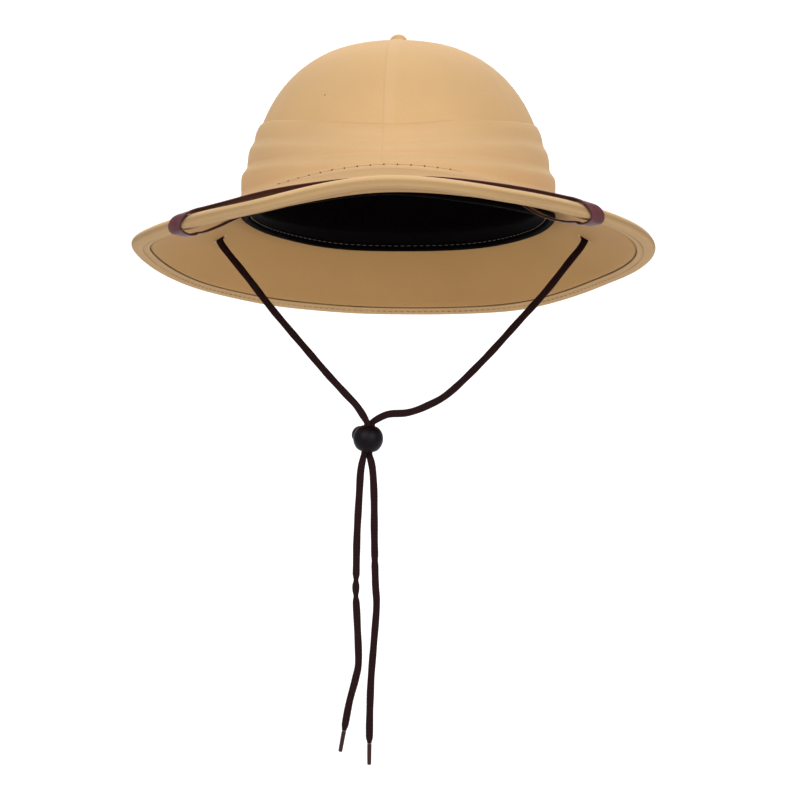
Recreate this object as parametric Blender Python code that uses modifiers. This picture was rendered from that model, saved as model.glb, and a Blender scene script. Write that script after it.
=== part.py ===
"""Safari hat: a cloth-covered pith helmet with a pleated band, a drooping brim,
a leather brim strap and a laced chin cord with a push-button cord lock.

Metres, +Z up. The front of the hat looks along -Y and the wearer's left side is +X.
The origin is the centre of the head opening, at the height of the brim's seat.
The hat is modelled as it is worn, with its brim high at the front and low at the back.
"""

import math
from collections import namedtuple

import bmesh
import bpy
from mathutils import Matrix, Vector

# Gaps between the pieces
gap = 0.0003
cloth_gap = 0.0005

# Fineness of the meshes
ring_segments = 44
crown_rings = 10
top_samples = 7
edge_arcs = 6
length_samples = 12
slope_step = 0.02
inner_levels = 4
button_steps = 4
turned_segments = 24
ball_rings = 16
strap_pitch = 0.0016
strap_strips = 4
strap_thinning = 5
cord_pitch = 0.0100
aglet_segments = 12
sharp_angle = 40.0

# Crown: an oval dome of stiffened cloth
crown_half_width = 0.0905
crown_half_length = 0.108
crown_height = 0.0932
crown_wall = 0.003
crown_fullness = 2.13
crown_squareness = 2.49

# Covered button on top of the crown
button_radius = 0.0056
button_height = 0.0053

# Pleated band round the foot of the crown, three soft rolls that step outward.
# A roll's shoulder is pleat_roll high, but no more than roll_limit of the roll, and
# reaches roll_depth of its depth at roll_share of the shoulder.
pleat_height = 0.043
pleat_cloth = 0.0010
pleat_depths = (0.0017, 0.0031, 0.0058)
pleat_roll = 0.0045
roll_limit = 0.42
roll_share = 0.35
roll_depth = 0.62
pleat_swell = 0.0004
pleat_tuck = 0.0003
pleat_cover = 0.0006
pleat_under = 0.0008

# Brim: a padded sheet with a rolled edge, its cloth turned under as a border
brim_overhang = 0.070
brim_fall = 0.065
seat_lift = 0.0069
rim_radius = 0.0034
core_thickness = 0.0041
border_width = 0.0105
valley_depth = 0.0040
valley_end = 0.95

# Lining sheet under the brim
lining_thickness = 0.0010
UNDER_SHARES = (0.85, 0.66, 0.46, 0.28, 0.14)

# Sweatband with a rolled lower edge, whose section is an arc in degrees
sweatband_thickness = 0.0016
sweatband_height = 0.022
sweatband_flare = 0.0070
sweatband_drop = 0.0060
sweatband_roll = 0.0021
SWEATBAND_SHARES = (1.0, 0.6, 0.2)
roll_start = 60.0
roll_sweep = 240.0
roll_arcs = 5

# Leather strap round the front of the brim
strap_width = 0.0092
strap_thickness = 0.0013
strap_azimuth = 49.0
strap_gap = 0.0006
wrap_reach = 0.0102
degree_length = 0.0023

# Chin cord, a flat lace; the tube has the lace's cross-section area
cord_diameter = 0.0035
slit_x = 0.1145
slit_y = 0.033
slit_length = 0.0052
slit_depth = 0.0034
slit_slack = 0.0010
slit_lead = 0.0045
slit_reach = 0.012
slit_samples = 60
slit_rounds = 8
aglet_length = 0.0125
aglet_diameter = 0.0027
aglet_taper = 0.85

# Cord lock with a sprung push button
lock_centre = (-0.0155, -0.0460, -0.1493)
lock_radius = 0.0090
lock_half_height = 0.0076
plunger_turn = 60.0
plunger_tilt = 12.0
plunger_radius = 0.0052
plunger_travel = 0.0025
plunger_wall = 0.00125
plunger_proud = 0.0022
plunger_edge = 0.0016
edge_segments = 3
cord_spacing = 0.0019
lock_lead = 0.0025

# Form of the hat round its oval, by azimuth in degrees from the front towards +X.
# seat is a share of seat_lift, fall of brim_fall, reach of brim_overhang, valley of
# valley_depth, hang of sweatband_drop, and the pleats' upper edges of pleat_height.
columns = "azimuth seat fall reach flare valley hang pleat_1 pleat_2 pleat_3"
FormRow = namedtuple("FormRow", columns)
FORM = (
    FormRow(0, 1.00, 0.095, 1.000, 2.0, 1.0, 1.20, 0.77, 0.50, 0.32),
    FormRow(30, 0.38, 0.201, 0.999, 1.8, 0.3, 1.10, 0.84, 0.57, 0.31),
    FormRow(60, -0.32, 0.358, 1.003, 1.5, 0.0, 0.90, 0.91, 0.64, 0.30),
    FormRow(90, -0.46, 0.531, 1.002, 1.4, 0.0, 0.75, 0.96, 0.66, 0.29),
    FormRow(120, -0.72, 0.717, 1.003, 1.3, 0.0, 1.50, 0.96, 0.65, 0.29),
    FormRow(150, -1.09, 0.955, 1.004, 1.2, 0.0, 1.90, 0.93, 0.62, 0.28),
    FormRow(180, -1.23, 1.000, 1.000, 1.2, 0.0, 1.90, 0.90, 0.60, 0.27),
    FormRow(210, -1.09, 0.946, 1.014, 1.2, 0.0, 1.90, 0.93, 0.62, 0.28),
    FormRow(240, -0.72, 0.777, 1.053, 1.3, 0.0, 1.40, 0.98, 0.67, 0.31),
    FormRow(270, -0.46, 0.523, 1.087, 1.4, 0.0, 0.75, 0.99, 0.70, 0.33),
    FormRow(300, -0.32, 0.420, 1.053, 1.5, 0.0, 0.90, 0.94, 0.67, 0.34),
    FormRow(330, 0.38, 0.286, 1.014, 1.8, 0.3, 1.10, 0.86, 0.58, 0.33),
)

# Route of the strap's half from the middle of the front to its end under the brim.
# turn is a share of strap_azimuth and along a share of brim_overhang, measured round
# the brim's section from the outermost point of its edge, negative on top. The strap
# is slack, and left and right say how far each half stands off the brim, in metres.
StrapRow = namedtuple("StrapRow", "turn along left right")
STRAP = (
    StrapRow(0.00, -0.50, 0.0010, 0.0010),
    StrapRow(0.30, -0.47, 0.0020, 0.0015),
    StrapRow(0.58, -0.37, 0.0027, 0.0015),
    StrapRow(0.80, -0.21, 0.0013, 0.0009),
    StrapRow(0.94, -0.08, 0.0002, 0.0002),
    StrapRow(1.00, 0.00, 0.0000, 0.0000),
    StrapRow(1.03, 0.09, 0.0006, 0.0004),
    StrapRow(1.02, 0.25, 0.0036, 0.0030),
    StrapRow(1.00, 0.55, 0.0016, 0.0036),
    StrapRow(0.97, 0.90, 0.0000, 0.0000),
)

# Routes of the chin cords below their slits, in metres: the drop to the lock,
# then the tail below it. The stretch inside the lock is added between them.
LEFT_DROP = (
    (-0.1105, 0.0295, -0.0320), (-0.1020, 0.0240, -0.0420), (-0.0940, 0.0190, -0.0515),
    (-0.0780, 0.0080, -0.0710), (-0.0545, -0.0100, -0.0970), (-0.0415, -0.0220, -0.1110),
    (-0.0300, -0.0340, -0.1225), (-0.0225, -0.0420, -0.1300),
)
RIGHT_DROP = (
    (0.1115, 0.0295, -0.0320), (0.1055, 0.0260, -0.0395), (0.0905, 0.0140, -0.0590),
    (0.0730, 0.0000, -0.0790), (0.0535, -0.0140, -0.1010), (0.0330, -0.0330, -0.1215),
    (0.0200, -0.0430, -0.1295), (0.0085, -0.0490, -0.1337), (-0.0035, -0.0515, -0.1348),
)
LEFT_TAIL = (
    (-0.0199, -0.0460, -0.1680), (-0.0208, -0.0460, -0.1815), (-0.0222, -0.0460, -0.2070),
    (-0.0227, -0.0460, -0.2300), (-0.0229, -0.0460, -0.2420), (-0.0221, -0.0460, -0.2590),
    (-0.0213, -0.0460, -0.2820), (-0.0230, -0.0460, -0.2925), (-0.0268, -0.0460, -0.3070),
    (-0.0300, -0.0460, -0.3240),
)
RIGHT_TAIL = (
    (-0.0129, -0.0455, -0.1680), (-0.0120, -0.0460, -0.1840), (-0.0118, -0.0460, -0.2080),
    (-0.0112, -0.0460, -0.2350), (-0.0105, -0.0460, -0.2490), (-0.0120, -0.0460, -0.2700),
    (-0.0138, -0.0460, -0.2930), (-0.0146, -0.0460, -0.3150), (-0.0148, -0.0460, -0.3315),
)

# Colours (linear), roughness and metallic value of each material
Finish = namedtuple("Finish", "colour roughness metallic")
FINISHES = {
    "khaki_cloth": Finish((0.73, 0.46, 0.22), 0.85, 0.0),
    "tan_lining": Finish((0.42, 0.25, 0.11), 0.85, 0.0),
    "black_vinyl": Finish((0.012, 0.010, 0.012), 0.45, 0.0),
    "brown_leather": Finish((0.10, 0.035, 0.035), 0.45, 0.0),
    "dark_lace": Finish((0.022, 0.008, 0.007), 0.80, 0.0),
    "black_plastic": Finish((0.015, 0.013, 0.015), 0.35, 0.0),
    "brown_plastic": Finish((0.04, 0.015, 0.012), 0.35, 0.0),
}

seat_width = crown_wall + pleat_depths[-1] + cloth_gap
rim_thickness = 2 * rim_radius
lining_top = core_thickness + gap
lining_under = lining_top + lining_thickness
opening_half_width = crown_half_width - crown_wall
opening_half_length = crown_half_length - crown_wall
ring_angles = [360.0 * i / ring_segments for i in range(ring_segments)]


def material(name):
    """Returns the named material, making it the first time."""
    found = bpy.data.materials.get(name)
    if found:
        return found
    finish = FINISHES[name]
    made = bpy.data.materials.new(name)
    made.use_nodes = True
    shader = made.node_tree.nodes["Principled BSDF"]
    shader.inputs["Base Color"].default_value = (*finish.colour, 1.0)
    shader.inputs["Roughness"].default_value = finish.roughness
    shader.inputs["Metallic"].default_value = finish.metallic
    return made


def clear_scene():
    """Removes every object and makes the two collections."""
    for thing in list(bpy.data.objects):
        bpy.data.objects.remove(thing)
    for name in ("safari_hat", "cutters"):
        collection = bpy.data.collections.new(name)
        bpy.context.scene.collection.children.link(collection)


def add_object(name, data, finish):
    """Links a piece to the hat's collection with its material."""
    piece = bpy.data.objects.new(name, data)
    bpy.data.collections["safari_hat"].objects.link(piece)
    if finish:
        piece.data.materials.clear()
        piece.data.materials.append(material(finish))
    return piece


def smooth(piece):
    """Shades a mesh smooth, apart from its sharp edges."""
    piece.data.shade_smooth()
    piece.data.set_sharp_from_angle(angle=math.radians(sharp_angle))


def form(column, azimuth):
    """Reads a column of the form table at any azimuth, by a smooth closed curve."""
    step = 360.0 / len(FORM)
    place = (azimuth % 360.0) / step
    row = int(place)
    t = place - row
    p0, p1, p2, p3 = (getattr(FORM[(row + k) % len(FORM)], column) for k in (-1, 0, 1, 2))
    bend = (2 * p0 - 5 * p1 + 4 * p2 - p3) * t * t
    twist = (3 * p1 - p0 - 3 * p2 + p3) * t * t * t
    return p1 + 0.5 * ((p2 - p0) * t + bend + twist)


def plan(azimuth, rho, z):
    """The point rho outside the head opening's oval, at height z."""
    turn = math.radians(azimuth)
    x = (opening_half_width + rho) * math.sin(turn)
    y = -(opening_half_length + rho) * math.cos(turn)
    return Vector((x, y, z))


def seat_height(azimuth):
    """Height of the brim's seat, which carries the crown and its band."""
    return seat_lift * form("seat", azimuth)


def dome_share(z):
    """The dome's half-width at height z, as a share of that at its foot."""
    height = min(max(z / crown_height, 0.0), 1.0)
    return (1.0 - height ** crown_fullness) ** (1.0 / crown_squareness)


def dome_rho(azimuth, z):
    """Distance of the dome's outer face outside the head opening's oval at height z."""
    turn = math.radians(azimuth)
    share = dome_share(z)
    wide = crown_half_width * share * math.sin(turn)
    long = crown_half_length * share * math.cos(turn)
    across = opening_half_width * math.sin(turn)
    along = opening_half_length * math.cos(turn)
    return math.hypot(wide, long) - math.hypot(across, along)


def dome_point(azimuth, z):
    """A point of the dome's outer face."""
    turn = math.radians(azimuth)
    share = dome_share(z)
    return Vector((crown_half_width * share * math.sin(turn),
                   -crown_half_length * share * math.cos(turn), z))


def loft_rings(name, section_at, finish):
    """A closed solid: one closed section at each azimuth, joined all the way round."""
    mesh = bmesh.new()
    rings = [[mesh.verts.new(p) for p in section_at(azimuth)] for azimuth in ring_angles]
    count = len(rings[0])
    for i, ring in enumerate(rings):
        following = rings[(i + 1) % len(rings)]
        for k in range(count):
            after = (k + 1) % count
            mesh.faces.new((ring[k], following[k], following[after], ring[after]))
    return finish_mesh(name, mesh, finish)


def finish_mesh(name, mesh, finish):
    """Turns a bmesh into a piece with its faces pointing out."""
    bmesh.ops.recalc_face_normals(mesh, faces=mesh.faces)
    data = bpy.data.meshes.new(name)
    mesh.to_mesh(data)
    mesh.free()
    piece = add_object(name, data, finish)
    smooth(piece)
    return piece


def cut(piece, cutter, operation="DIFFERENCE"):
    """Cuts a piece by a hidden cutter."""
    modifier = piece.modifiers.new(cutter.name, "BOOLEAN")
    modifier.operation = operation
    modifier.solver = "EXACT"
    modifier.object = cutter


def make_cutter(name, mesh, place):
    """A hidden cutter made from a bmesh and placed by a matrix."""
    bmesh.ops.recalc_face_normals(mesh, faces=mesh.faces)
    data = bpy.data.meshes.new(name)
    mesh.to_mesh(data)
    mesh.free()
    cutter = bpy.data.objects.new(name, data)
    bpy.data.collections["cutters"].objects.link(cutter)
    cutter.matrix_world = place
    cutter.hide_render = True
    cutter.display_type = "WIRE"
    return cutter


def box_cutter(name, low, high, place):
    """A box cutter between two corners of the frame given by place."""
    mesh = bmesh.new()
    bmesh.ops.create_cube(mesh, size=1.0)
    size = [b - a for a, b in zip(low, high)]
    middle = [(a + b) / 2 for a, b in zip(low, high)]
    bmesh.ops.scale(mesh, vec=size, verts=mesh.verts)
    bmesh.ops.translate(mesh, vec=middle, verts=mesh.verts)
    return make_cutter(name, mesh, place)


def make_crown():
    """The dome: rings from the brim's seat up to its top, thickened inward."""
    mesh = bmesh.new()
    lowest = seat_lift * max(row.seat for row in FORM) + 2 * gap
    start = math.asin((lowest / crown_height) ** (crown_fullness / 2)) / (math.pi / 2)
    rings = [[mesh.verts.new(dome_point(azimuth, seat_height(azimuth) + gap))
              for azimuth in ring_angles]]
    for i in range(crown_rings):
        rise = start + (1.0 - start) * (i / crown_rings)
        z = crown_height * math.sin(rise * math.pi / 2) ** (2 / crown_fullness)
        rings.append([mesh.verts.new(dome_point(azimuth, z)) for azimuth in ring_angles])
    top = mesh.verts.new((0.0, 0.0, crown_height))
    for lower, upper in zip(rings, rings[1:]):
        for k in range(ring_segments):
            after = (k + 1) % ring_segments
            mesh.faces.new((lower[k], lower[after], upper[after], upper[k]))
    for k in range(ring_segments):
        mesh.faces.new((rings[-1][k], rings[-1][(k + 1) % ring_segments], top))
    crown = finish_mesh("crown", mesh, "khaki_cloth")
    wall = crown.modifiers.new("wall", "SOLIDIFY")
    wall.thickness = crown_wall
    wall.offset = -1.0


def make_button():
    """The covered button, a low turned dome that sits on the crown's top."""
    share = (button_radius / crown_half_width) ** crown_squareness
    foot = crown_height * (1 - share) ** (1 / crown_fullness) + 2 * gap
    base = crown_height + gap
    mesh = bmesh.new()
    profile = [(0.0, base + button_height)]
    for i in range(1, button_steps + 1):
        turn = math.pi / 2 * i / button_steps
        profile.append((button_radius * math.sin(turn),
                        foot + (base + button_height - foot) * math.cos(turn)))
    profile.append((0.0, base))
    points = [mesh.verts.new((r, 0.0, z)) for r, z in profile]
    for lower, upper in zip(points, points[1:]):
        mesh.edges.new((lower, upper))
    data = bpy.data.meshes.new("crown_button")
    mesh.to_mesh(data)
    mesh.free()
    button = add_object("crown_button", data, "khaki_cloth")
    screw = button.modifiers.new("turned", "SCREW")
    screw.steps = turned_segments
    screw.render_steps = turned_segments
    screw.use_merge_vertices = True
    screw.merge_threshold = 0.00001


def pleat_section(azimuth):
    """Section of the pleated band: three rolls outside, the crown's face inside."""
    foot = seat_height(azimuth) + gap
    edges = [pleat_height * form(name, azimuth) for name in ("pleat_1", "pleat_2", "pleat_3")]
    ends = edges[1:] + [foot]
    outline = []
    inside = pleat_cloth
    for depth, upper, lower in zip(pleat_depths, edges, ends):
        roll = min(pleat_roll, (upper - lower) * roll_limit)
        middle = (upper + lower) / 2
        outline.append((upper, inside))
        outline.append((upper - roll_share * roll, inside + roll_depth * (depth - inside)))
        outline.append((upper - roll, depth))
        outline.append((middle, depth + pleat_swell))
        outline.append((lower + pleat_cover, depth - pleat_tuck))
        inside = depth - pleat_under
    outer = [plan(azimuth, dome_rho(azimuth, z) + depth, z) for z, depth in outline[:-1]]
    outer.append(plan(azimuth, dome_rho(azimuth, foot) + pleat_depths[-1], foot))
    inner = []
    for i in range(inner_levels + 1):
        z = foot + (edges[0] - foot) * i / inner_levels
        inner.append(plan(azimuth, dome_rho(azimuth, z) + cloth_gap, z))
    return outer + inner


def brim_top(azimuth, s):
    """The brim's upper face at share s from the seat to the rim: rho and height."""
    span = brim_overhang * form("reach", azimuth) - seat_width - rim_radius
    high = seat_height(azimuth)
    low = rim_radius - brim_fall * form("fall", azimuth)
    drop = 1.0 - (1.0 - min(s, 1.0)) ** form("flare", azimuth)
    dip = math.sin(math.pi * min(s / valley_end, 1.0)) ** 2
    valley = valley_depth * form("valley", azimuth) * dip
    return seat_width + span * s, high + (low - high) * drop - valley


def brim_frame(azimuth, s):
    """Point, outward direction and upward direction of the brim's section at share s."""
    before = brim_top(azimuth, max(s - slope_step, 0.0))
    after = brim_top(azimuth, min(s + slope_step, 1.0))
    run = after[0] - before[0]
    rise = after[1] - before[1]
    length = math.hypot(run, rise)
    here = brim_top(azimuth, s)
    return Vector(here), Vector((run, rise)) / length, Vector((-rise, run)) / length


def brim_length(azimuth):
    """Length of the brim's upper face from the seat to the rim."""
    shares = [i / length_samples for i in range(length_samples + 1)]
    points = [Vector(brim_top(azimuth, s)) for s in shares]
    return sum((b - a).length for a, b in zip(points, points[1:]))


def border_share(azimuth):
    """Where the border under the rim ends, as a share of the brim's upper face."""
    return 1.0 - (border_width - rim_radius) / brim_length(azimuth)


def under_points(azimuth, depth):
    """The underside's points from the border inwards, this deep under the upper face."""
    points = []
    for share in UNDER_SHARES:
        here, _, up = brim_frame(azimuth, border_share(azimuth) * share)
        points.append(here - up * depth)
    return points


def brim_outline(azimuth):
    """Outline of the brim's core in its section, with its rolled edge and its border."""
    seat = seat_height(azimuth)
    points = [Vector((0.0, seat)), Vector((seat_width, seat))]
    for i in range(1, top_samples + 1):
        points.append(Vector(brim_top(azimuth, i / top_samples)))
    end, out, up = brim_frame(azimuth, 1.0)
    centre = end - up * rim_radius
    for i in range(1, edge_arcs + 1):
        turn = math.pi * i / edge_arcs
        points.append(centre + rim_radius * (up * math.cos(turn) + out * math.sin(turn)))
    here, _, up = brim_frame(azimuth, border_share(azimuth))
    points.append(here - up * rim_thickness)
    points.append(here - up * core_thickness)
    points += under_points(azimuth, core_thickness)
    points.append(Vector((0.0, seat - core_thickness)))
    return points


def brim_section(azimuth):
    """Section of the brim's core, in space."""
    return [plan(azimuth, rho, z) for rho, z in brim_outline(azimuth)]


def lining_section(azimuth):
    """Section of the lining sheet, inside the border's lip."""
    seat = seat_height(azimuth)
    here, out, up = brim_frame(azimuth, border_share(azimuth))
    faces = []
    for depth in (lining_top, lining_under):
        start = here - up * depth - out * cloth_gap
        end = Vector((cloth_gap, seat - depth))
        faces.append([start] + under_points(azimuth, depth) + [end])
    upper, under = faces
    return [plan(azimuth, rho, z) for rho, z in upper + under[::-1]]


def sweatband_section(azimuth):
    """Section of the sweatband: a strip in the crown that flares to a rolled edge."""
    seat = seat_height(azimuth)
    knee = seat - lining_under - 2 * cloth_gap
    roll = Vector((sweatband_flare, knee - sweatband_drop * form("hang", azimuth)))
    start = Vector((-cloth_gap, knee))
    heights = [seat + sweatband_height * share for share in SWEATBAND_SHARES]
    faces = [Vector((dome_rho(azimuth, z) - crown_wall - cloth_gap, z)) for z in heights]
    slant = (roll - start).normalized()
    side = Vector((-slant.y, slant.x))
    points = faces + [start]
    for i in range(roll_arcs + 1):
        turn = math.radians(roll_start - roll_sweep * i / roll_arcs)
        points.append(roll + sweatband_roll * (side * math.sin(turn) + slant * math.cos(turn)))
    points.append(start - Vector((sweatband_thickness, sweatband_thickness)))
    points += [face - Vector((sweatband_thickness, 0.0)) for face in reversed(faces)]
    return [plan(azimuth, rho, z) for rho, z in points]


def skin_profile(azimuth):
    """The brim's skin from its seat round the edge to the sweatband, and the edge's place.

    Gives a list of points in the section, and how far along it the outermost point lies.
    """
    seat = seat_height(azimuth)
    border_end = 2 + top_samples + edge_arcs
    points = brim_outline(azimuth)[1:border_end + 1]
    points += under_points(azimuth, lining_under)
    points.append(Vector((cloth_gap, seat - lining_under)))
    outermost = top_samples + edge_arcs // 2
    edge = sum((b - a).length for a, b in zip(points[:outermost], points[1:outermost + 1]))
    return points, edge


def skin_point(azimuth, along, height):
    """A point height above the skin of one ring's section."""
    points, edge = skin_profile(azimuth)
    left = edge + along
    for i, (a, b) in enumerate(zip(points, points[1:])):
        length = (b - a).length
        if left <= length or i == len(points) - 2:
            break
        left -= length
    share = left / length
    here = a.lerp(b, share)
    before = points[max(i - 1, 0)]
    after = points[min(i + 2, len(points) - 1)]
    first = (b - before).normalized()
    last = (after - a).normalized()
    run = first.lerp(last, min(max(share, 0.0), 1.0)).normalized()
    rho, z = here + Vector((-run.y, run.x)) * height
    return plan(azimuth, rho, z)


def brim_skin(azimuth, along, height):
    """A point height above the brim's skin, found by its distance round the section."""
    step = 360.0 / ring_segments
    low = math.floor(azimuth / step) * step
    share = (azimuth - low) / step
    return skin_point(low, along, height).lerp(skin_point(low + step, along, height), share)


def smooth_route(points, pitch):
    """Points about a pitch apart on a smooth curve that keeps the route's own points."""
    points = [Vector(p) for p in points]
    ends = [points[0] * 2 - points[1]] + points + [points[-1] * 2 - points[-2]]
    route = []
    for p0, p1, p2, p3 in zip(ends, ends[1:], ends[2:], ends[3:]):
        steps = max(round((p2 - p1).length / pitch), 1)
        for i in range(steps):
            t = i / steps
            bend = (p0 * 2 - p1 * 5 + p2 * 4 - p3) * (t * t)
            twist = (p1 * 3 - p0 - p2 * 3 + p3) * (t * t * t)
            route.append(p1 + ((p2 - p0) * t + bend + twist) * 0.5)
    return route + [points[-1]]


def strap_route():
    """The strap's centre line: azimuth, distance round the section and stand-off."""
    turn = strap_azimuth * degree_length
    left = [(-turn * row.turn, brim_overhang * row.along, row.left) for row in STRAP]
    right = [(turn * row.turn, brim_overhang * row.along, row.right) for row in STRAP]
    fine = smooth_route(left[:0:-1] + right, strap_pitch)
    thin = [p for i, p in enumerate(fine[:-1])
            if abs(p.y) < wrap_reach or i % strap_thinning == 0]
    return [(x / degree_length, along, lift) for x, along, lift in thin + [fine[-1]]]


def make_strap():
    """The leather strap, laid on the brim's skin and wrapped round its edge."""
    route = strap_route()
    layers = (strap_gap, strap_gap + strap_thickness)
    mesh = bmesh.new()
    rows = []
    for i, (azimuth, along, lift) in enumerate(route):
        before = route[max(i - 1, 0)]
        after = route[min(i + 1, len(route) - 1)]
        arm = (brim_skin(azimuth + 0.5, along, 0) - brim_skin(azimuth - 0.5, along, 0)).length
        run = (after[0] - before[0]) * arm
        rise = after[1] - before[1]
        length = math.hypot(run, rise)
        row = []
        for height in layers:
            for k in range(strap_strips + 1):
                reach = strap_width * (k / strap_strips - 0.5)
                turn = azimuth - reach * rise / length / arm
                place = along + reach * run / length
                row.append(mesh.verts.new(brim_skin(turn, place, height + max(lift, 0.0))))
        rows.append(row[:strap_strips + 1] + row[:strap_strips:-1])
    count = len(rows[0])
    for row, following in zip(rows, rows[1:]):
        for k in range(count):
            after = (k + 1) % count
            mesh.faces.new((row[k], following[k], following[after], row[after]))
    mesh.faces.new(rows[0])
    mesh.faces.new(rows[-1])
    finish_mesh("brim_strap", mesh, "brown_leather")


def slit_place(side):
    """Where a cord's slit lies under the brim: side is -1 or 1 along X."""
    azimuth = math.degrees(math.atan2(slit_x, -slit_y)) * side
    for _ in range(slit_rounds):
        best = None
        for i in range(slit_samples):
            here, _, up = brim_frame(azimuth, i / slit_samples)
            rho, z = here - up * lining_under
            point = plan(azimuth, rho, z)
            miss = abs(point.x * side - slit_x)
            if best is None or miss < best[0]:
                best = (miss, point)
        turn = math.degrees((slit_y - best[1].y) / slit_x)
        azimuth += turn * side
    return best[1]


def slit_cutter(side):
    """The pocket that holds a cord's end, as a cutter; also where the cord starts."""
    place = slit_place(side)
    half = slit_length / 2
    reach = cord_diameter / 2 + slit_slack
    name = "slit_left" if side < 0 else "slit_right"
    roof = place.z + slit_depth
    cutter = box_cutter(name, (slit_x * side - half, slit_y - reach, place.z - slit_reach),
                        (slit_x * side + half, slit_y + reach, roof), Matrix.Identity(4))
    return cutter, Vector((slit_x * side, slit_y, roof - gap))


def lock_frame():
    """The lock's own frame: x across both cords, y out along the plunger, z the cords."""
    turn = math.radians(plunger_turn)
    tilt = math.radians(plunger_tilt)
    out = Vector((-math.cos(turn) * math.cos(tilt), math.sin(turn) * math.cos(tilt),
                  math.sin(tilt)))
    across = out.cross(Vector((0, 0, 1))).normalized()
    up = across.cross(out).normalized()
    frame = Matrix((across, out, up)).transposed().to_4x4()
    return Matrix.Translation(lock_centre) @ frame


def make_lock():
    """The cord lock's ball with its cord slot and its bore, and the push button."""
    frame = lock_frame()
    cord_reach = cord_diameter / 2 + gap
    slot_half = cord_spacing + cord_reach
    bore_end = -(cord_reach + plunger_wall + plunger_travel + gap)
    far = 2 * lock_radius

    mesh = bmesh.new()
    bmesh.ops.create_uvsphere(mesh, u_segments=turned_segments, v_segments=ball_rings,
                              radius=lock_radius)
    data = bpy.data.meshes.new("cord_lock_body")
    mesh.to_mesh(data)
    mesh.free()
    body = add_object("cord_lock_body", data, "black_plastic")
    body.matrix_world = frame
    smooth(body)
    cut(body, box_cutter("lock_ends", (-far, -far, -lock_half_height),
                         (far, far, lock_half_height), frame), "INTERSECT")
    cut(body, box_cutter("lock_cord_slot", (-slot_half, -cord_reach, -far),
                         (slot_half, cord_reach, far), frame))
    mesh = bmesh.new()
    bore = plunger_radius + gap
    bmesh.ops.create_cone(mesh, cap_ends=True, segments=turned_segments, radius1=bore,
                          radius2=bore, depth=far - bore_end,
                          matrix=Matrix.Translation((0, (far + bore_end) / 2, 0))
                          @ Matrix.Rotation(math.pi / 2, 4, "X"))
    cut(body, make_cutter("lock_bore", mesh, frame))

    inner = -(cord_reach + plunger_wall)
    outer = lock_radius + plunger_travel + plunger_proud - gap
    mesh = bmesh.new()
    bmesh.ops.create_cone(mesh, cap_ends=True, segments=turned_segments,
                          radius1=plunger_radius, radius2=plunger_radius, depth=outer - inner,
                          matrix=Matrix.Translation((0, (outer + inner) / 2, 0))
                          @ Matrix.Rotation(math.pi / 2, 4, "X"))
    end_edges = [e for e in mesh.edges if all(v.co.y > outer - gap for v in e.verts)]
    bmesh.ops.bevel(mesh, geom=end_edges, offset=plunger_edge, segments=edge_segments,
                    profile=0.5, affect="EDGES")
    data = bpy.data.meshes.new("cord_lock_plunger")
    bmesh.ops.recalc_face_normals(mesh, faces=mesh.faces)
    mesh.to_mesh(data)
    mesh.free()
    plunger = add_object("cord_lock_plunger", data, "black_plastic")
    plunger.matrix_world = frame
    smooth(plunger)
    cut(plunger, box_cutter("plunger_slot", (-slot_half, -cord_reach, -far),
                            (slot_half, cord_reach + plunger_travel, far), frame))


def lock_stretch(side):
    """A cord's straight stretch through the lock, from top to bottom."""
    frame = lock_frame()
    end = lock_half_height + lock_lead
    heights = (end, lock_half_height, 0.0, -lock_half_height, -end)
    return [tuple(frame @ Vector((cord_spacing * side, 0.0, z))) for z in heights]


def make_cord(name, start, drop, side, tail):
    """One chin cord, from its slit through the lock to its aglet."""
    lead = (start.x, start.y, start.z - slit_lead)
    points = [tuple(start), lead] + list(drop) + lock_stretch(side) + list(tail)
    route = smooth_route(points, cord_pitch)
    curve = bpy.data.curves.new(name, "CURVE")
    curve.dimensions = "3D"
    curve.bevel_depth = cord_diameter / 2
    curve.bevel_resolution = 2
    curve.resolution_u = 1
    curve.render_resolution_u = 0
    curve.use_fill_caps = True
    spline = curve.splines.new("POLY")
    spline.points.add(len(route) - 1)
    for point, place in zip(spline.points, route):
        point.co = (*place, 1.0)
    add_object(name, curve, "dark_lace")
    return route


def make_aglet(name, route):
    """The plastic sleeve at a cord's end, in line with its last stretch."""
    end = route[-1]
    run = (end - route[-2]).normalized()
    middle = end + run * (gap + aglet_length / 2)
    mesh = bmesh.new()
    turn = Vector((0, 0, 1)).rotation_difference(run).to_matrix().to_4x4()
    bmesh.ops.create_cone(mesh, cap_ends=True, segments=aglet_segments,
                          radius1=aglet_diameter / 2,
                          radius2=aglet_diameter / 2 * aglet_taper, depth=aglet_length)
    data = bpy.data.meshes.new(name)
    mesh.to_mesh(data)
    mesh.free()
    aglet = add_object(name, data, "brown_plastic")
    aglet.matrix_world = Matrix.Translation(middle) @ turn
    smooth(aglet)


def main():
    """Builds the whole hat."""
    clear_scene()
    make_crown()
    make_button()
    loft_rings("pleated_band", pleat_section, "khaki_cloth")
    brim = loft_rings("brim", brim_section, "khaki_cloth")
    lining = loft_rings("brim_lining", lining_section, "tan_lining")
    loft_rings("sweatband", sweatband_section, "black_vinyl")
    make_strap()
    make_lock()
    sides = (("left", -1, LEFT_DROP, LEFT_TAIL), ("right", 1, RIGHT_DROP, RIGHT_TAIL))
    for word, side, drop, tail in sides:
        cutter, start = slit_cutter(side)
        cut(brim, cutter)
        cut(lining, cutter)
        route = make_cord("chin_cord_" + word, start, drop, side, tail)
        make_aglet("aglet_" + word, route)


main()
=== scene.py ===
"""Looks of the safari hat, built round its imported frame.

Metres, +Z up. The hat's front looks along -Y and the wearer's left side is +X.
The sizes and the form table are the part's own, so every piece lies where its solid lies.
"""

import math
from collections import namedtuple

import bpy
import numpy as np
from mathutils import Matrix, Vector


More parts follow.
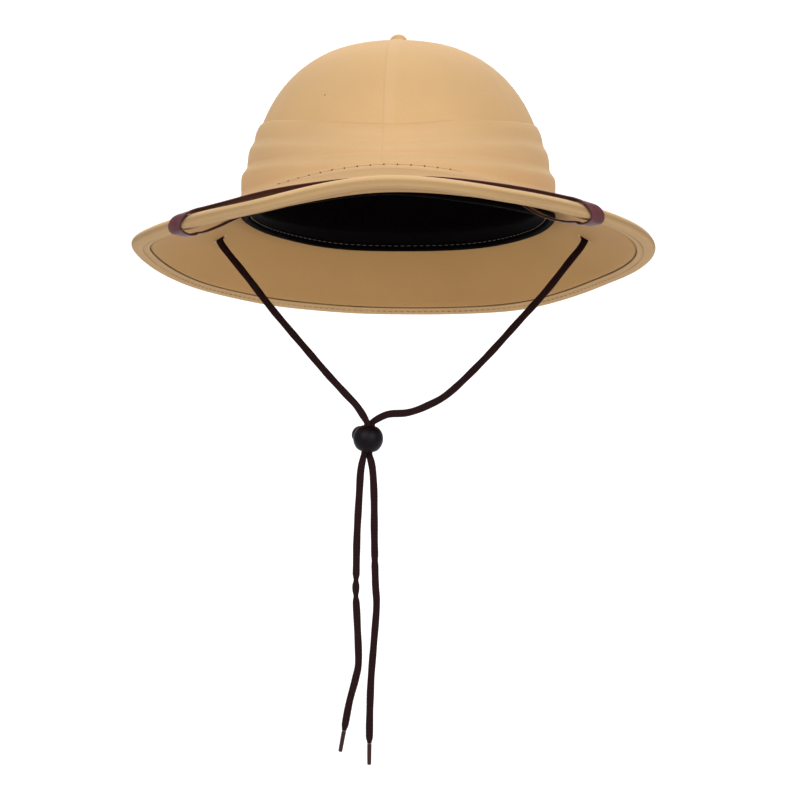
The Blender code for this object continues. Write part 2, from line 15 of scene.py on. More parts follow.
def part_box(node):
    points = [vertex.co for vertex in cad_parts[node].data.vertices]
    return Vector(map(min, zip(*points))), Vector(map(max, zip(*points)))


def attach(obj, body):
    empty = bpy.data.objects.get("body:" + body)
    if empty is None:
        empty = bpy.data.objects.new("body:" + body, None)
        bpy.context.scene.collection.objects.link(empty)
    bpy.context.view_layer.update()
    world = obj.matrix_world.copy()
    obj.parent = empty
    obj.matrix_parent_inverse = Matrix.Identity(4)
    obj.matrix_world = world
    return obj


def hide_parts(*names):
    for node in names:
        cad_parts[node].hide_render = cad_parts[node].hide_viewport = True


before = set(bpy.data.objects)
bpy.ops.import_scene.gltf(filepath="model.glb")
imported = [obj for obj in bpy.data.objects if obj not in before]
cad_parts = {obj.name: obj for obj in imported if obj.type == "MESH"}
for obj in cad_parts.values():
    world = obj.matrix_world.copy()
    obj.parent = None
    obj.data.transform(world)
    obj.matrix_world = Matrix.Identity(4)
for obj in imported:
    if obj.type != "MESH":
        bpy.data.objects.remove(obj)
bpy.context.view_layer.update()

# Sizes of the part
gap = 0.0003
cloth_gap = 0.0005
crown_half_width = 0.0905
crown_half_length = 0.108
crown_height = 0.0932
crown_wall = 0.003
crown_fullness = 2.13
crown_squareness = 2.49
button_radius = 0.0056
button_height = 0.0053
pleat_height = 0.043
pleat_cloth = 0.0010
pleat_depths = (0.0017, 0.0031, 0.0058)
pleat_roll = 0.0045
roll_limit = 0.42
pleat_swell = 0.0004
pleat_tuck = 0.0003
brim_overhang = 0.070
brim_fall = 0.065
seat_lift = 0.0069
rim_radius = 0.0034
core_thickness = 0.0041
border_width = 0.0105
valley_depth = 0.0040
valley_end = 0.95
lining_thickness = 0.0010
sweatband_thickness = 0.0016
sweatband_height = 0.022
sweatband_flare = 0.0070
sweatband_drop = 0.0060
sweatband_roll = 0.0021
strap_width = 0.0092
strap_thickness = 0.0013
strap_azimuth = 49.0
strap_gap = 0.0006
degree_length = 0.0023
cord_diameter = 0.0035
slit_x = 0.1145
slit_y = 0.033
slit_length = 0.0052
slit_slack = 0.0010
slit_lead = 0.0045
aglet_length = 0.0125
aglet_diameter = 0.0027
lock_centre = (-0.0155, -0.0460, -0.1493)
lock_radius = 0.0090
lock_half_height = 0.0076
plunger_turn = 60.0
plunger_tilt = 12.0
plunger_radius = 0.0052
plunger_travel = 0.0025
plunger_wall = 0.00125
plunger_proud = 0.0022
cord_spacing = 0.0019
lock_lead = 0.0025

# Form of the hat round its oval, by azimuth in degrees from the front towards +X
form_columns = "azimuth seat fall reach flare valley hang pleat_1 pleat_2 pleat_3"
FormRow = namedtuple("FormRow", form_columns)
FORM = (
    FormRow(0, 1.00, 0.095, 1.000, 2.0, 1.0, 1.20, 0.77, 0.50, 0.32),
    FormRow(30, 0.38, 0.201, 0.999, 1.8, 0.3, 1.10, 0.84, 0.57, 0.31),
    FormRow(60, -0.32, 0.358, 1.003, 1.5, 0.0, 0.90, 0.91, 0.64, 0.30),
    FormRow(90, -0.46, 0.531, 1.002, 1.4, 0.0, 0.75, 0.96, 0.66, 0.29),
    FormRow(120, -0.72, 0.717, 1.003, 1.3, 0.0, 1.50, 0.96, 0.65, 0.29),
    FormRow(150, -1.09, 0.955, 1.004, 1.2, 0.0, 1.90, 0.93, 0.62, 0.28),
    FormRow(180, -1.23, 1.000, 1.000, 1.2, 0.0, 1.90, 0.90, 0.60, 0.27),
    FormRow(210, -1.09, 0.946, 1.014, 1.2, 0.0, 1.90, 0.93, 0.62, 0.28),
    FormRow(240, -0.72, 0.777, 1.053, 1.3, 0.0, 1.40, 0.98, 0.67, 0.31),
    FormRow(270, -0.46, 0.523, 1.087, 1.4, 0.0, 0.75, 0.99, 0.70, 0.33),
    FormRow(300, -0.32, 0.420, 1.053, 1.5, 0.0, 0.90, 0.94, 0.67, 0.34),
    FormRow(330, 0.38, 0.286, 1.014, 1.8, 0.3, 1.10, 0.86, 0.58, 0.33),
)

# Route of the strap's halves: share of strap_azimuth, share of brim_overhang round the
# edge, and how far each half stands off the brim
StrapRow = namedtuple("StrapRow", "turn along left right")
STRAP = (
    StrapRow(0.00, -0.50, 0.0010, 0.0010),
    StrapRow(0.30, -0.47, 0.0020, 0.0015),
    StrapRow(0.58, -0.37, 0.0027, 0.0015),
    StrapRow(0.80, -0.21, 0.0013, 0.0009),
    StrapRow(0.94, -0.08, 0.0002, 0.0002),
    StrapRow(1.00, 0.00, 0.0000, 0.0000),
    StrapRow(1.03, 0.09, 0.0006, 0.0004),
    StrapRow(1.02, 0.25, 0.0036, 0.0030),
    StrapRow(1.00, 0.55, 0.0016, 0.0036),
    StrapRow(0.97, 0.90, 0.0000, 0.0000),
)

# Routes of the chin cords below their slits, as in the part
LEFT_DROP = (
    (-0.1105, 0.0295, -0.0320), (-0.1020, 0.0240, -0.0420), (-0.0940, 0.0190, -0.0515),
    (-0.0780, 0.0080, -0.0710), (-0.0545, -0.0100, -0.0970), (-0.0415, -0.0220, -0.1110),
    (-0.0300, -0.0340, -0.1225), (-0.0225, -0.0420, -0.1300),
)
RIGHT_DROP = (
    (0.1115, 0.0295, -0.0320), (0.1055, 0.0260, -0.0395), (0.0905, 0.0140, -0.0590),
    (0.0730, 0.0000, -0.0790), (0.0535, -0.0140, -0.1010), (0.0330, -0.0330, -0.1215),
    (0.0200, -0.0430, -0.1295), (0.0085, -0.0490, -0.1337), (-0.0035, -0.0515, -0.1348),
)
LEFT_TAIL = (
    (-0.0199, -0.0460, -0.1680), (-0.0208, -0.0460, -0.1815), (-0.0222, -0.0460, -0.2070),
    (-0.0227, -0.0460, -0.2300), (-0.0229, -0.0460, -0.2420), (-0.0221, -0.0460, -0.2590),
    (-0.0213, -0.0460, -0.2820), (-0.0230, -0.0460, -0.2925), (-0.0268, -0.0460, -0.3070),
    (-0.0300, -0.0460, -0.3240),
)
RIGHT_TAIL = (
    (-0.0129, -0.0455, -0.1680), (-0.0120, -0.0460, -0.1840), (-0.0118, -0.0460, -0.2080),
    (-0.0112, -0.0460, -0.2350), (-0.0105, -0.0460, -0.2490), (-0.0120, -0.0460, -0.2700),
    (-0.0138, -0.0460, -0.2930), (-0.0146, -0.0460, -0.3150), (-0.0148, -0.0460, -0.3315),
)

# Where the laces turn a little: height, the turn in degrees below it, and its spread
LEFT_TURNS = ((-0.290, 18.0, 0.012),)
RIGHT_TURNS = ((-0.2358, 25.0, 0.003), (-0.305, -10.0, 0.02))

# Where a lace is drawn together: height and the share of its width that is left
LEFT_PINCHES = ((-0.2338, 0.66), (-0.2434, 0.70))
RIGHT_PINCHES = ((-0.2220, 0.86),)
pinch_reach = 0.0022

# Fineness of the meshes
round_step = 1.5
brim_step = 1.0
seam_step = 0.22
seam_zone = 3.3
crown_rows = 84
inner_rows = 22
pole_size = 0.0006
thin_tip = 0.00002
button_step = 5.0
button_rows = 14
band_rows = 88
foot_rows = 10
top_samples = 44
edge_arcs = 18
border_rows = 9
skin_border_rows = 4
lining_rows = 36
strap_corners = 28
strap_pitch = 0.0009
lace_corners = 24
turned_step = 7.5
thread_sides = 6
thread_rings = 5
lock_columns = 72
lock_rows = 48
pole_turn = 0.004
lock_edge = 18.0
bevel = 0.0002
mouth_bevel = 0.0007
dish_depth = 0.0003
aglet_step = 12.0
aglet_flatness = 0.9
sharp_angle = math.radians(40.0)

# Looks: seams, stitches, folds, fine relief, and painted shade and painted light
seam_azimuths = (0.0, 60.0, 120.0, 180.0, 240.0, 300.0)
seam_left = 0.0033
seam_right = 0.0045
seam_rise = 0.00024
seam_groove = 0.00006
seam_line = 0.00042
# Painted shade in the seams' grooves, and a painted highlight on their raised strips.
seam_shade = 0.07
side_seam_share = 0.4
seam_highlight = 0.2
seam_end = 0.006
seam_fade = 0.012
cloth_ripple = 0.00030
ripple_turns = 95.0
button_puckers = 12
button_pucker_depth = 0.012
pleat_curve = 2.25
pleat_line = 0.0011
pleat_groove = 0.00006
# Painted shade in the pleats' grooves.
pleat_shade = 0.03
# Painted light that brightens the band's face.
band_painted_light = 0.38
edge_tuck = 0.0003
edge_share = 0.02
band_seam_share = 0.8
pleat_wander = 0.00060
foot_fillet = 0.0030
foot_reach = 0.0028
foot_cloth = 0.0001
pleat_softness = 0.0009
arch_stitch_pitch = 0.0078
arch_thread_radius = 0.00010
arch_hole_radius = 0.00048
last_hole = 23.0
border_stitch_length = 0.0028
border_stitch_gap = 0.0012
border_stitch_share = 0.45
border_thread_radius = 0.00034
border_thread_sink = 0.0003
front_thread_sink = 0.0008
front_spread = 55.0
arch_thread_lift = 0.00004
groove_width = 0.0007
# Painted shade in the groove between the border and the lining.
groove_shade = 0.42
# A painted shadow of a head on the lining near the head opening.
head_shade = 0.42
fold_width = 0.0005
fold_depth = 0.00030
# Painted shade in the rim's folds.
fold_shade = 0.48
# A painted highlight along the rim's crest, and painted shade on its lower half.
crest_share = 0.42
crest_width = 0.0012
rim_shade = 0.50
rim_ripple = 0.00025
stitch_valley = 0.00040
# Painted shade in the border's stitch valley.
stitch_shade = 0.16
lip_share = 0.66
# Painted shade where the border's lip steps up to the core.
back_shade = 0.9
blend_rows = 4

# Long folds along the rim: middle azimuth, half-spread in degrees and places past its top
RIM_FOLDS = (
    (329.0, 9.0, (0.0006, 0.0022)),
    (30.0, 15.0, (0.0016, 0.0060, 0.0074)),
)
lining_swell = 0.0014
swell_reach = 0.010
edge_rounding = 0.0012
edge_drop = 0.0009
brim_length = 0.06
innermost = 0.06
head_shade_reach = 0.15
EDGE_INSETS = (0.0, 0.0002, 0.0006, 0.0012, 0.0022, 0.0035)
strap_tilt_share = 0.55
strap_squareness = 0.30
strap_flatness = 0.55
strap_edge_start = 0.90
strap_edge_shade = 0.75
# Painted shade on the strap's underside.
strap_under_shade = 0.8
sweatband_stitch_pitch = 0.0042
sweatband_stitch_share = 0.72
sweatband_thread_radius = 0.00024
stitch_row_rise = 0.0030
thread_lift = 0.0004
thread_tilt = 0.6
sweatband_ribs = 560
sweatband_rib_depth = 0.00014
SWEATBAND_SHARES = (1.0, 0.8, 0.6, 0.4, 0.2, 0.0, -0.15)
roll_start = 60.0
roll_sweep = 240.0
roll_arcs = 14
lace_width = 0.0044
lace_thickness = 0.0028
lace_ring_pitch = 0.00055
lace_rib_depth = 0.00016
lace_squareness = 0.75
braid_pitch = 0.0022
press_reach = 0.008
slit_reach = 0.012
tip_reach = 0.004
pressed_half = (0.00172, 0.00165)
tip_half = (0.0014, 0.0013)
lace_waver = 0.03
waver_turns = 310.0
slit_pinch = 0.18
braid_swell = 0.02
slack_share = 0.4
slit_cut_depth = 0.013

# Height of the stitch line on the band's foot, by azimuth
ARCH_LINE = (
    (-41.0, -0.0002), (-30.0, 0.0031), (-20.0, 0.0059), (-10.0, 0.0077), (0.0, 0.0087),
    (10.0, 0.0081), (20.0, 0.0066), (26.3, 0.0052),
)
UNDER_SHARES = (0.85, 0.66, 0.46, 0.28, 0.14)
lining_start = 0.97

# A dark fleck in the crown's cloth, left of the front seam
fleck_place = (-0.0383, -0.0823, 0.0521)
fleck_radius = 0.0008

# The small pale tacks at the ends of each slit under the brim
tack_radius = 0.0009
tack_offset = 0.0006

seat_width = crown_wall + pleat_depths[-1] + cloth_gap
rim_thickness = 2 * rim_radius
lining_top = core_thickness + gap
lining_under = lining_top + lining_thickness
opening_half_width = crown_half_width - crown_wall
opening_half_length = crown_half_length - crown_wall

# The camera, from the photograph's frame
image_size = 800.0
focal_pixels = 2600.0
principal_x = 398.5
camera_distance = 1.6
camera_yaw = 3.3
camera_height = -0.1262

# The soft boxes: name, place, the point that each looks at, size and power in watts
LIGHTS = (
    ("key_light", (-0.9, -1.7, 0.9), (0.0, 0.0, 0.0), 1.5, 20.0),
    ("fill_light", (1.1, -1.7, 0.55), (0.0, 0.0, 0.0), 1.5, 18.5),
    ("back_light", (0.0, 1.5, 1.6), (0.0, 2.4, 0.0), 2.0, 90.0),
)
surround_strength = 0.385
floor_white = (0.56, 0.56, 0.56)


def new_object(name, data):
    """A new object in the scene."""
    made = bpy.data.objects.new(name, data)
    bpy.context.scene.collection.objects.link(made)
    return made


def new_mesh(name, points, faces):
    """A new mesh of these points and faces."""
    mesh = bpy.data.meshes.new(name)
    mesh.from_pydata(points, [], faces)
    return mesh


def make_camera():
    """The camera at the photograph's viewing angle, level and a little below the brim."""
    data = bpy.data.cameras.new("camera")
    data.sensor_width = 36.0
    data.lens = data.sensor_width * focal_pixels / image_size
    data.shift_x = (image_size / 2 - principal_x) / image_size
    data.clip_start = 0.05
    camera = new_object("camera", data)
    yaw = math.radians(camera_yaw)
    camera.location = (camera_distance * math.sin(yaw), -camera_distance * math.cos(yaw),
                       camera_height)
    camera.rotation_euler = (math.pi / 2, 0.0, yaw)
    bpy.context.scene.camera = camera


def soft_light(name, place, target, size, power):
    """A square soft box that looks at a point."""
    data = bpy.data.lights.new(name, "AREA")
    data.shape = "SQUARE"
    data.size = size
    data.energy = power
    light = new_object(name, data)
    light.location = place
    look = Vector(target) - Vector(place)
    light.rotation_euler = look.to_track_quat("-Z", "Y").to_euler()


def make_studio():
    """Pale floor that sweeps up into a backdrop, soft boxes and a white surround."""
    floor_z = -0.56
    radius = 0.9
    back_y = 2.6
    front_y = -4.0
    top_z = 4.0
    width = 6.0
    steps = 24
    profile = [(front_y, floor_z), (back_y - radius, floor_z)]
    for i in range(1, steps + 1):
        turn = math.pi / 2 * i / steps
        profile.append((back_y - radius + radius * math.sin(turn),
                        floor_z + radius - radius * math.cos(turn)))
    profile.append((back_y, top_z))
    points = [(side * width, y, z) for y, z in profile for side in (-1, 1)]
    faces = [(2 * i, 2 * i + 1, 2 * i + 3, 2 * i + 2) for i in range(len(profile) - 1)]
    mesh = new_mesh("studio_floor", points, faces)
    mesh.shade_smooth()
    floor = new_object("studio_floor", mesh)
    mesh.materials.append(plain_material("studio_white", floor_white, 0.9))
    for light in LIGHTS:
        soft_light(*light)
    world = bpy.data.worlds.new("studio")
    world.use_nodes = True
    surround = world.node_tree.nodes["Background"]
    surround.inputs["Color"].default_value = (1.0, 1.0, 1.0, 1.0)
    surround.inputs["Strength"].default_value = surround_strength
    bpy.context.scene.world = world
    bpy.context.scene.view_settings.view_transform = "Standard"


def form(column, azimuth):
    """Reads a column of the form table at any azimuths, by a smooth closed curve."""
    values = np.array([getattr(row, column) for row in FORM])
    place = (np.asarray(azimuth, float) % 360.0) / (360.0 / len(FORM))
    row = np.floor(place).astype(int)
    t = place - row
    p0, p1, p2, p3 = (values[(row + k) % len(FORM)] for k in (-1, 0, 1, 2))
    bend = (2 * p0 - 5 * p1 + 4 * p2 - p3) * t * t
    twist = (3 * p1 - p0 - 3 * p2 + p3) * t * t * t
    return p1 + 0.5 * ((p2 - p0) * t + bend + twist)


def wander(azimuth, seed, harmonics=(3, 5, 8, 13)):
    """A smooth closed waviness from about -1 to 1 round the hat, the same at each run."""
    turn = np.radians(azimuth)
    total = 0.0
    for k in harmonics:
        total = total + np.sin(k * turn + 1.7 * seed * k + seed) / len(harmonics)
    return total


def unit(vectors):
    """The directions of vectors, each of length 1."""
    return vectors / np.linalg.norm(vectors, axis=-1, keepdims=True)


def square_to(run):
    """The direction a quarter turn to the left of a section's run."""
    return np.stack([-run[..., 1], run[..., 0]], -1)


def level_outward(points):
    """Level directions from the hat's middle towards points."""
    return unit(points * np.array([1.0, 1.0, 0.0]))


def plan(azimuth, rho, z):
    """The points rho outside the head opening's oval, at height z."""
    turn = np.radians(azimuth)
    x = (opening_half_width + rho) * np.sin(turn)
    y = -(opening_half_length + rho) * np.cos(turn)
    return np.stack(np.broadcast_arrays(x, y, z), -1)


def loft_points(azimuth, section):
    """The points of a loft, from its section of rho and z at each azimuth."""
    return plan(azimuth[:, None], section[..., 0], section[..., 1])


def seat_height(azimuth):
    """Height of the brim's seat, which carries the crown and its band."""
    return seat_lift * form("seat", azimuth)


def dome_share(z):
    """The dome's half-width at height z, as a share of that at its foot."""
    height = np.clip(np.asarray(z) / crown_height, 0.0, 1.0)
    return (1.0 - height ** crown_fullness) ** (1.0 / crown_squareness)


def dome_rho(azimuth, z):
    """Distance of the dome's outer face outside the head opening's oval at height z."""
    turn = np.radians(azimuth)
    share = dome_share(z)
    dome = np.hypot(crown_half_width * share * np.sin(turn),
                    crown_half_length * share * np.cos(turn))
    oval = np.hypot(opening_half_width * np.sin(turn), opening_half_length * np.cos(turn))
    return dome - oval


def brim_top(azimuth, s):
    """The brim's upper face at share s from the seat to the rim: rho and height."""
    s = np.clip(s, 0.0, 1.0)
    span = brim_overhang * form("reach", azimuth) - seat_width - rim_radius
    high = seat_height(azimuth)
    low = rim_radius - brim_fall * form("fall", azimuth)
    drop = 1.0 - (1.0 - s) ** form("flare", azimuth)
    dip = np.sin(math.pi * np.minimum(s / valley_end, 1.0)) ** 2
    valley = valley_depth * form("valley", azimuth) * dip
    rho, z = np.broadcast_arrays(seat_width + span * s, high + (low - high) * drop - valley)
    return np.stack([rho, z], -1)


def brim_frame(azimuth, s):
    """Point, outward direction and upward direction of the brim's section at share s."""
    step = 0.02
    out = unit(brim_top(azimuth, s + step) - brim_top(azimuth, s - step))
    return brim_top(azimuth, s), out, square_to(out)


def border_share(azimuth):
    """Where the border under the rim ends, as a share of the brim's upper face."""
    points = [brim_top(azimuth, i / 12) for i in range(13)]
    length = sum(np.linalg.norm(b - a, axis=-1) for a, b in zip(points, points[1:]))
    return 1.0 - (border_width - rim_radius) / length


def columns(fine_at=(), coarse=round_step):
    """Azimuths of a loft's columns, closer together at the given seams."""
    values = []
    angle = 0.0
    while angle < 360.0 - 1e-6:
        values.append(angle)
        near = min([abs((angle - seam + 180.0) % 360.0 - 180.0) for seam in fine_at] or [360.0])
        ahead = min([(seam - seam_zone - angle) % 360.0 for seam in fine_at] or [360.0])
        angle += seam_step if near < seam_zone else min(coarse, max(ahead, seam_step))
    return np.array(values)


def measure(points):
    """Running length along the last-but-one axis of a list of points."""
    steps = np.linalg.norm(np.diff(points, axis=-2), axis=-1)
    start = np.zeros(steps.shape[:-1] + (1,))
    return np.concatenate([start, np.cumsum(steps, -1)], -1)


def grid_piece(name, points, uv, around=True, attributes=None):
    """A mesh of columns by rows of points. It is closed round, or capped at both ends.

    uv holds the four corners of each face: this column's two rows, then the next one's.
    """
    count, rows = points.shape[:2]
    spans = count if around else count - 1
    column, row = np.meshgrid(np.arange(spans), np.arange(rows), indexing="ij")
    right = (column + 1) % count
    below = (row + 1) % rows
    quads = np.stack([column * rows + row, column * rows + below,
                      right * rows + below, right * rows + row], -1).reshape(-1, 4)
    corner_uv = np.asarray(uv, float)[:, :, [0, 1, 3, 2]].reshape(-1, 4, 2)
    flat = points.reshape(-1, 3)
    a, b, c, d = (flat[quads[:, k]] for k in range(4))
    volume = (np.einsum("ij,ij->i", a, np.cross(b, c)).sum()
              + np.einsum("ij,ij->i", a, np.cross(c, d)).sum())
    flip = volume < 0
    if flip:
        quads = quads[:, ::-1]
        corner_uv = corner_uv[:, ::-1]
    faces = [tuple(q) for q in quads.tolist()]
    if not around:
        first = tuple(range(rows))
        last = tuple(range((count - 1) * rows, count * rows))
        faces += [first[::-1], last] if flip else [first, last[::-1]]
    mesh = new_mesh(name, flat.tolist(), faces)
    layer = mesh.uv_layers.new(name="weave")
    flat_uv = np.zeros((len(mesh.loops), 2), np.float32)
    flat_uv[:corner_uv.size // 2] = corner_uv.reshape(-1, 2)
    layer.uv.foreach_set("vector", flat_uv.ravel())
    for key, values in (attributes or {}).items():
        made = mesh.attributes.new(key, "FLOAT", "POINT")
        made.data.foreach_set("value", np.asarray(values, np.float32).ravel())
    mesh.shade_smooth()
    return new_object(name, mesh)


def face_corners(left, right):
    """The four corner values of each face, from its left and right columns of rows."""
    left = np.concatenate([left, left[:, :1]], 1)
    right = np.concatenate([right, right[:, :1]], 1)
    return np.stack([left[:, :-1], left[:, 1:], right[:, :-1], right[:, 1:]], 2)


def panel_uv(points, azimuth, panels):
    """Weave coordinates of a loft in panels: across from each panel's middle, and along."""
    along = measure(points)
    radius = np.hypot(points[..., 0], points[..., 1])
    following = np.append(azimuth[1:], azimuth[0] + 360.0)
    size = 360.0 / panels
    middle = (np.floor((azimuth + following) / 2 / size) + 0.5) * size
    left = np.stack([radius * np.radians(azimuth - middle)[:, None], along], -1)
    right_radius = np.roll(radius, -1, 0)
    right = np.stack([right_radius * np.radians(following - middle)[:, None],
                      np.roll(along, -1, 0)], -1)
    return face_corners(left, right)


def dress(piece, surface, body="hat", nodes=()):
    """Gives a piece its material, its body and the solids that it stands for."""
    piece.data.materials.clear()
    piece.data.materials.append(surface)
    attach(piece, body)
    if nodes:
        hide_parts(*nodes)
    return piece


def cloth_piece(name, node, points, uv, surface, painted_shade=None, painted_light=None):
    """A loft of cloth, with the painted shade and painted light of its first rows."""
    attributes = {"painted_shade": np.zeros(points.shape[:2]), "painted_light": np.zeros(points.shape[:2])}
    for key, values in (("painted_shade", painted_shade), ("painted_light", painted_light)):
        if values is not None:
            attributes[key][:, :values.shape[1]] = values
    piece = grid_piece(name, points, uv, attributes=attributes)
    return dress(piece, surface, nodes=[node])


class Nodes:
    """Short hand for one material's node tree."""

    def __init__(self, name, roughness):
        self.material = bpy.data.materials.new(name)
        self.material.use_nodes = True
        self.tree = self.material.node_tree
        self.shader = self.tree.nodes["Principled BSDF"]
        self.shader.inputs["Roughness"].default_value = roughness

    def add(self, kind, settings=None, **inputs):
        """Adds a node; an input is a value, or the output of another node."""
        node = self.tree.nodes.new(kind)
        for key, value in (settings or {}).items():
            setattr(node, key, value)
        for key, value in inputs.items():
            socket = node.inputs[int(key[1:])] if key[0] == "i" and key[1:].isdigit() \
                else node.inputs[key]
            if isinstance(value, bpy.types.NodeSocket):
                self.tree.links.new(value, socket)
            else:
                socket.default_value = value
        return node

    def math(self, operation, a, b=0.0):
        """One sum of two numbers or outputs."""
        return self.add("ShaderNodeMath", {"operation": operation}, i0=a, i1=b).outputs[0]

    def weave(self):
        """The weave coordinates, in metres."""
        return self.add("ShaderNodeUVMap", {"uv_map": "weave"}).outputs[0]

    def place(self):
        """The place on the object, in metres."""
        return self.add("ShaderNodeTexCoord").outputs["Object"]

    def noise(self, vector, scale, detail, stretch=(1.0, 1.0, 1.0)):
        """A noise value from 0 to 1 at this many cells a metre."""
        scaled = self.add("ShaderNodeVectorMath", {"operation": "MULTIPLY"},
                          i0=vector, i1=stretch).outputs[0]
        node = self.add("ShaderNodeTexNoise", Vector=scaled, Scale=scale, Detail=detail)
        return node.outputs[0]

    def attribute(self, name):
        """A named value of the mesh."""
        return self.add("ShaderNodeAttribute", {"attribute_name": name}).outputs["Fac"]

    def ramp(self, value, low, high, start=0.3, end=0.7):
        """A colour between low and high as a value goes from start to end."""
        node = self.add("ShaderNodeValToRGB", Fac=value)
        node.color_ramp.elements[0].position = start
        node.color_ramp.elements[0].color = (*low, 1.0)
        node.color_ramp.elements[1].position = end
        node.color_ramp.elements[1].color = (*high, 1.0)
        return node.outputs[0]

    def mix(self, share, a, b, blend="MIX"):
        """A mix of two colours."""
        node = self.tree.nodes.new("ShaderNodeMix")
        node.data_type = "RGBA"
        node.blend_type = blend
        for socket, value in zip((node.inputs[0], node.inputs[6], node.inputs[7]),
                                 (share, a, b)):
            if isinstance(value, bpy.types.NodeSocket):
                self.tree.links.new(value, socket)
            elif isinstance(value, tuple):
                socket.default_value = (*value, 1.0)
            else:
                socket.default_value = value
        return node.outputs[2]

    def near(self, point, radius, stretch=(1.0, 1.0, 1.0)):
        """A value that falls from 1 at a point to 0 at this distance from it."""
        place = self.add("ShaderNodeVectorMath", {"operation": "MULTIPLY"},
                         i0=self.place(), i1=stretch).outputs[0]
        away = self.add("ShaderNodeVectorMath", {"operation": "DISTANCE"},
                        i0=place, i1=point).outputs["Value"]
        share = self.math("SUBTRACT", 1.0, self.math("DIVIDE", away, radius))
        return self.math("MAXIMUM", share, 0.0)

    def wave(self, coordinate, pitch):
        """A sine from 0 to 1 that repeats after pitch metres."""
        turn = self.math("MULTIPLY", coordinate, 2 * math.pi / pitch)
        return self.math("ADD", self.math("MULTIPLY", self.math("SINE", turn), 0.5), 0.5)

    def bump(self, height, distance, strength):
        """A bump of height times distance metres."""
        return self.add("ShaderNodeBump", Height=height, Distance=distance,
                        Strength=strength).outputs[0]

    def finish(self, colour, normal=None, roughness=None, **constants):
        """Joins the colour, bump and roughness to the shader, and sets its constants."""
        if isinstance(colour, bpy.types.NodeSocket):
            self.tree.links.new(colour, self.shader.inputs["Base Color"])
        else:
            self.shader.inputs["Base Color"].default_value = (*colour, 1.0)
        if normal is not None:
            self.tree.links.new(normal, self.shader.inputs["Normal"])
        if roughness is not None:
            self.tree.links.new(roughness, self.shader.inputs["Roughness"])
        for key, value in constants.items():
            self.shader.inputs[key.replace("_", " ")].default_value = value
        return self.material


def plain_material(name, colour, roughness):
    """One even colour, for the studio."""
    return Nodes(name, roughness).finish(colour)


def shade_of(colour, share):
    """A colour made lighter or darker."""
    return tuple(min(c * share, 1.0) for c in colour)


def cloth_material(name, colour, thread_pitch=0.00052, relief=0.00004, mottle=0.04,
                   fleck=None, tacks=()):
    """Cotton drill: a fine twill of two threads, with soft unevenness in its dye, and the
    painted shade and painted light that its mesh carries.
    """
    n = Nodes(name, 0.9)
    weave = n.weave()
    parts = n.add("ShaderNodeSeparateXYZ", Vector=weave)
    across, along = parts.outputs[0], parts.outputs[1]
    twill = n.wave(n.math("ADD", across, n.math("MULTIPLY", along, 0.5)), thread_pitch)
    weft = n.wave(along, thread_pitch * 0.62)
    slub = n.noise(weave, 1900.0, 2.0, (1.0, 0.4, 1.0))
    height = n.math("ADD", n.math("MULTIPLY", twill, 0.6), n.math("MULTIPLY", weft, 0.4))
    height = n.math("ADD", height, n.math("MULTIPLY", slub, 0.6))
    cloudy = n.noise(n.place(), 22.0, 3.0)
    base = n.ramp(cloudy, shade_of(colour, 1.0 - mottle), shade_of(colour, 1.0 + mottle / 2))
    threads = n.ramp(slub, (0.94, 0.935, 0.92), (1.03, 1.03, 1.03), 0.25, 0.75)
    shaded = n.mix(1.0, base, threads, "MULTIPLY")
    # Painted shade in the twill's hollows: the colour is a little darker where the twill's
    # relief is low.
    twill_groove_shade = n.ramp(twill, (0.965, 0.96, 0.95), (1.0, 1.0, 1.0), 0.0, 0.6)
    shaded = n.mix(1.0, shaded, twill_groove_shade, "MULTIPLY")
    # Painted light: a paler, bluer copy of the colour for painted highlights and brightened
    # parts.
    light = tuple(min(c * s, 1.0) for c, s in zip(colour, (1.08, 1.18, 1.45)))
    shaded = n.mix(n.math("MULTIPLY", n.attribute("painted_light"), 0.75), shaded, light)
    # Painted shade: the colour darkens towards a dim copy of itself where the mesh's shade
    # value is set.
    tone = n.mix(n.attribute("painted_shade"), shaded, shade_of(colour, 0.30))
    if fleck:
        tone = n.mix(n.near(fleck, fleck_radius), tone, (0.03, 0.02, 0.015))
    for tack in tacks:
        spot = n.math("MULTIPLY", n.near(tack, tack_radius, (1.0, 1.0, 0.0)), 3.0)
        tone = n.mix(n.math("MINIMUM", spot, 0.7), tone, (0.85, 0.75, 0.66))
    normal = n.bump(height, relief, 0.7)
    return n.finish(tone, normal, Sheen_Weight=0.08, Sheen_Roughness=0.5,
                    Specular_IOR_Level=0.12)


def vinyl_material(name, colour):
    """Black ribbed vinyl with a fine pressed grain and painted highlights on its ribs' crests.
    """
    n = Nodes(name, 0.8)
    grain = n.noise(n.place(), 1500.0, 3.0)
    # A painted highlight on each rib's crest.
    tone = n.mix(n.math("MULTIPLY", n.attribute("crest_highlight"), 0.6), colour, shade_of(colour, 2.4))
    rough = n.math("ADD", n.math("MULTIPLY", grain, 0.2), 0.60)
    return n.finish(tone, n.bump(grain, 0.00006, 0.6), rough, Specular_IOR_Level=0.02)


def leather_material(name, colour, edge_dye_and_shade_colour):
    """Smooth polished leather with fine pores, darker cut edges and painted shade on its
    underside.
    """
    n = Nodes(name, 0.38)
    place = n.place()
    pores = n.add("ShaderNodeTexVoronoi", Vector=place, Scale=1400.0).outputs["Distance"]
    cloudy = n.noise(place, 120.0, 4.0)
    tone = n.ramp(cloudy, shade_of(colour, 0.8), shade_of(colour, 1.15))
    # The edge value darkens the cut edges and paints shade on the underside.
    tone = n.mix(n.attribute("edge"), tone, edge_dye_and_shade_colour)
    rough = n.math("ADD", n.math("MULTIPLY", cloudy, 0.25), 0.25)
    return n.finish(tone, n.bump(pores, 0.00005, 0.5), rough, Specular_IOR_Level=0.12)


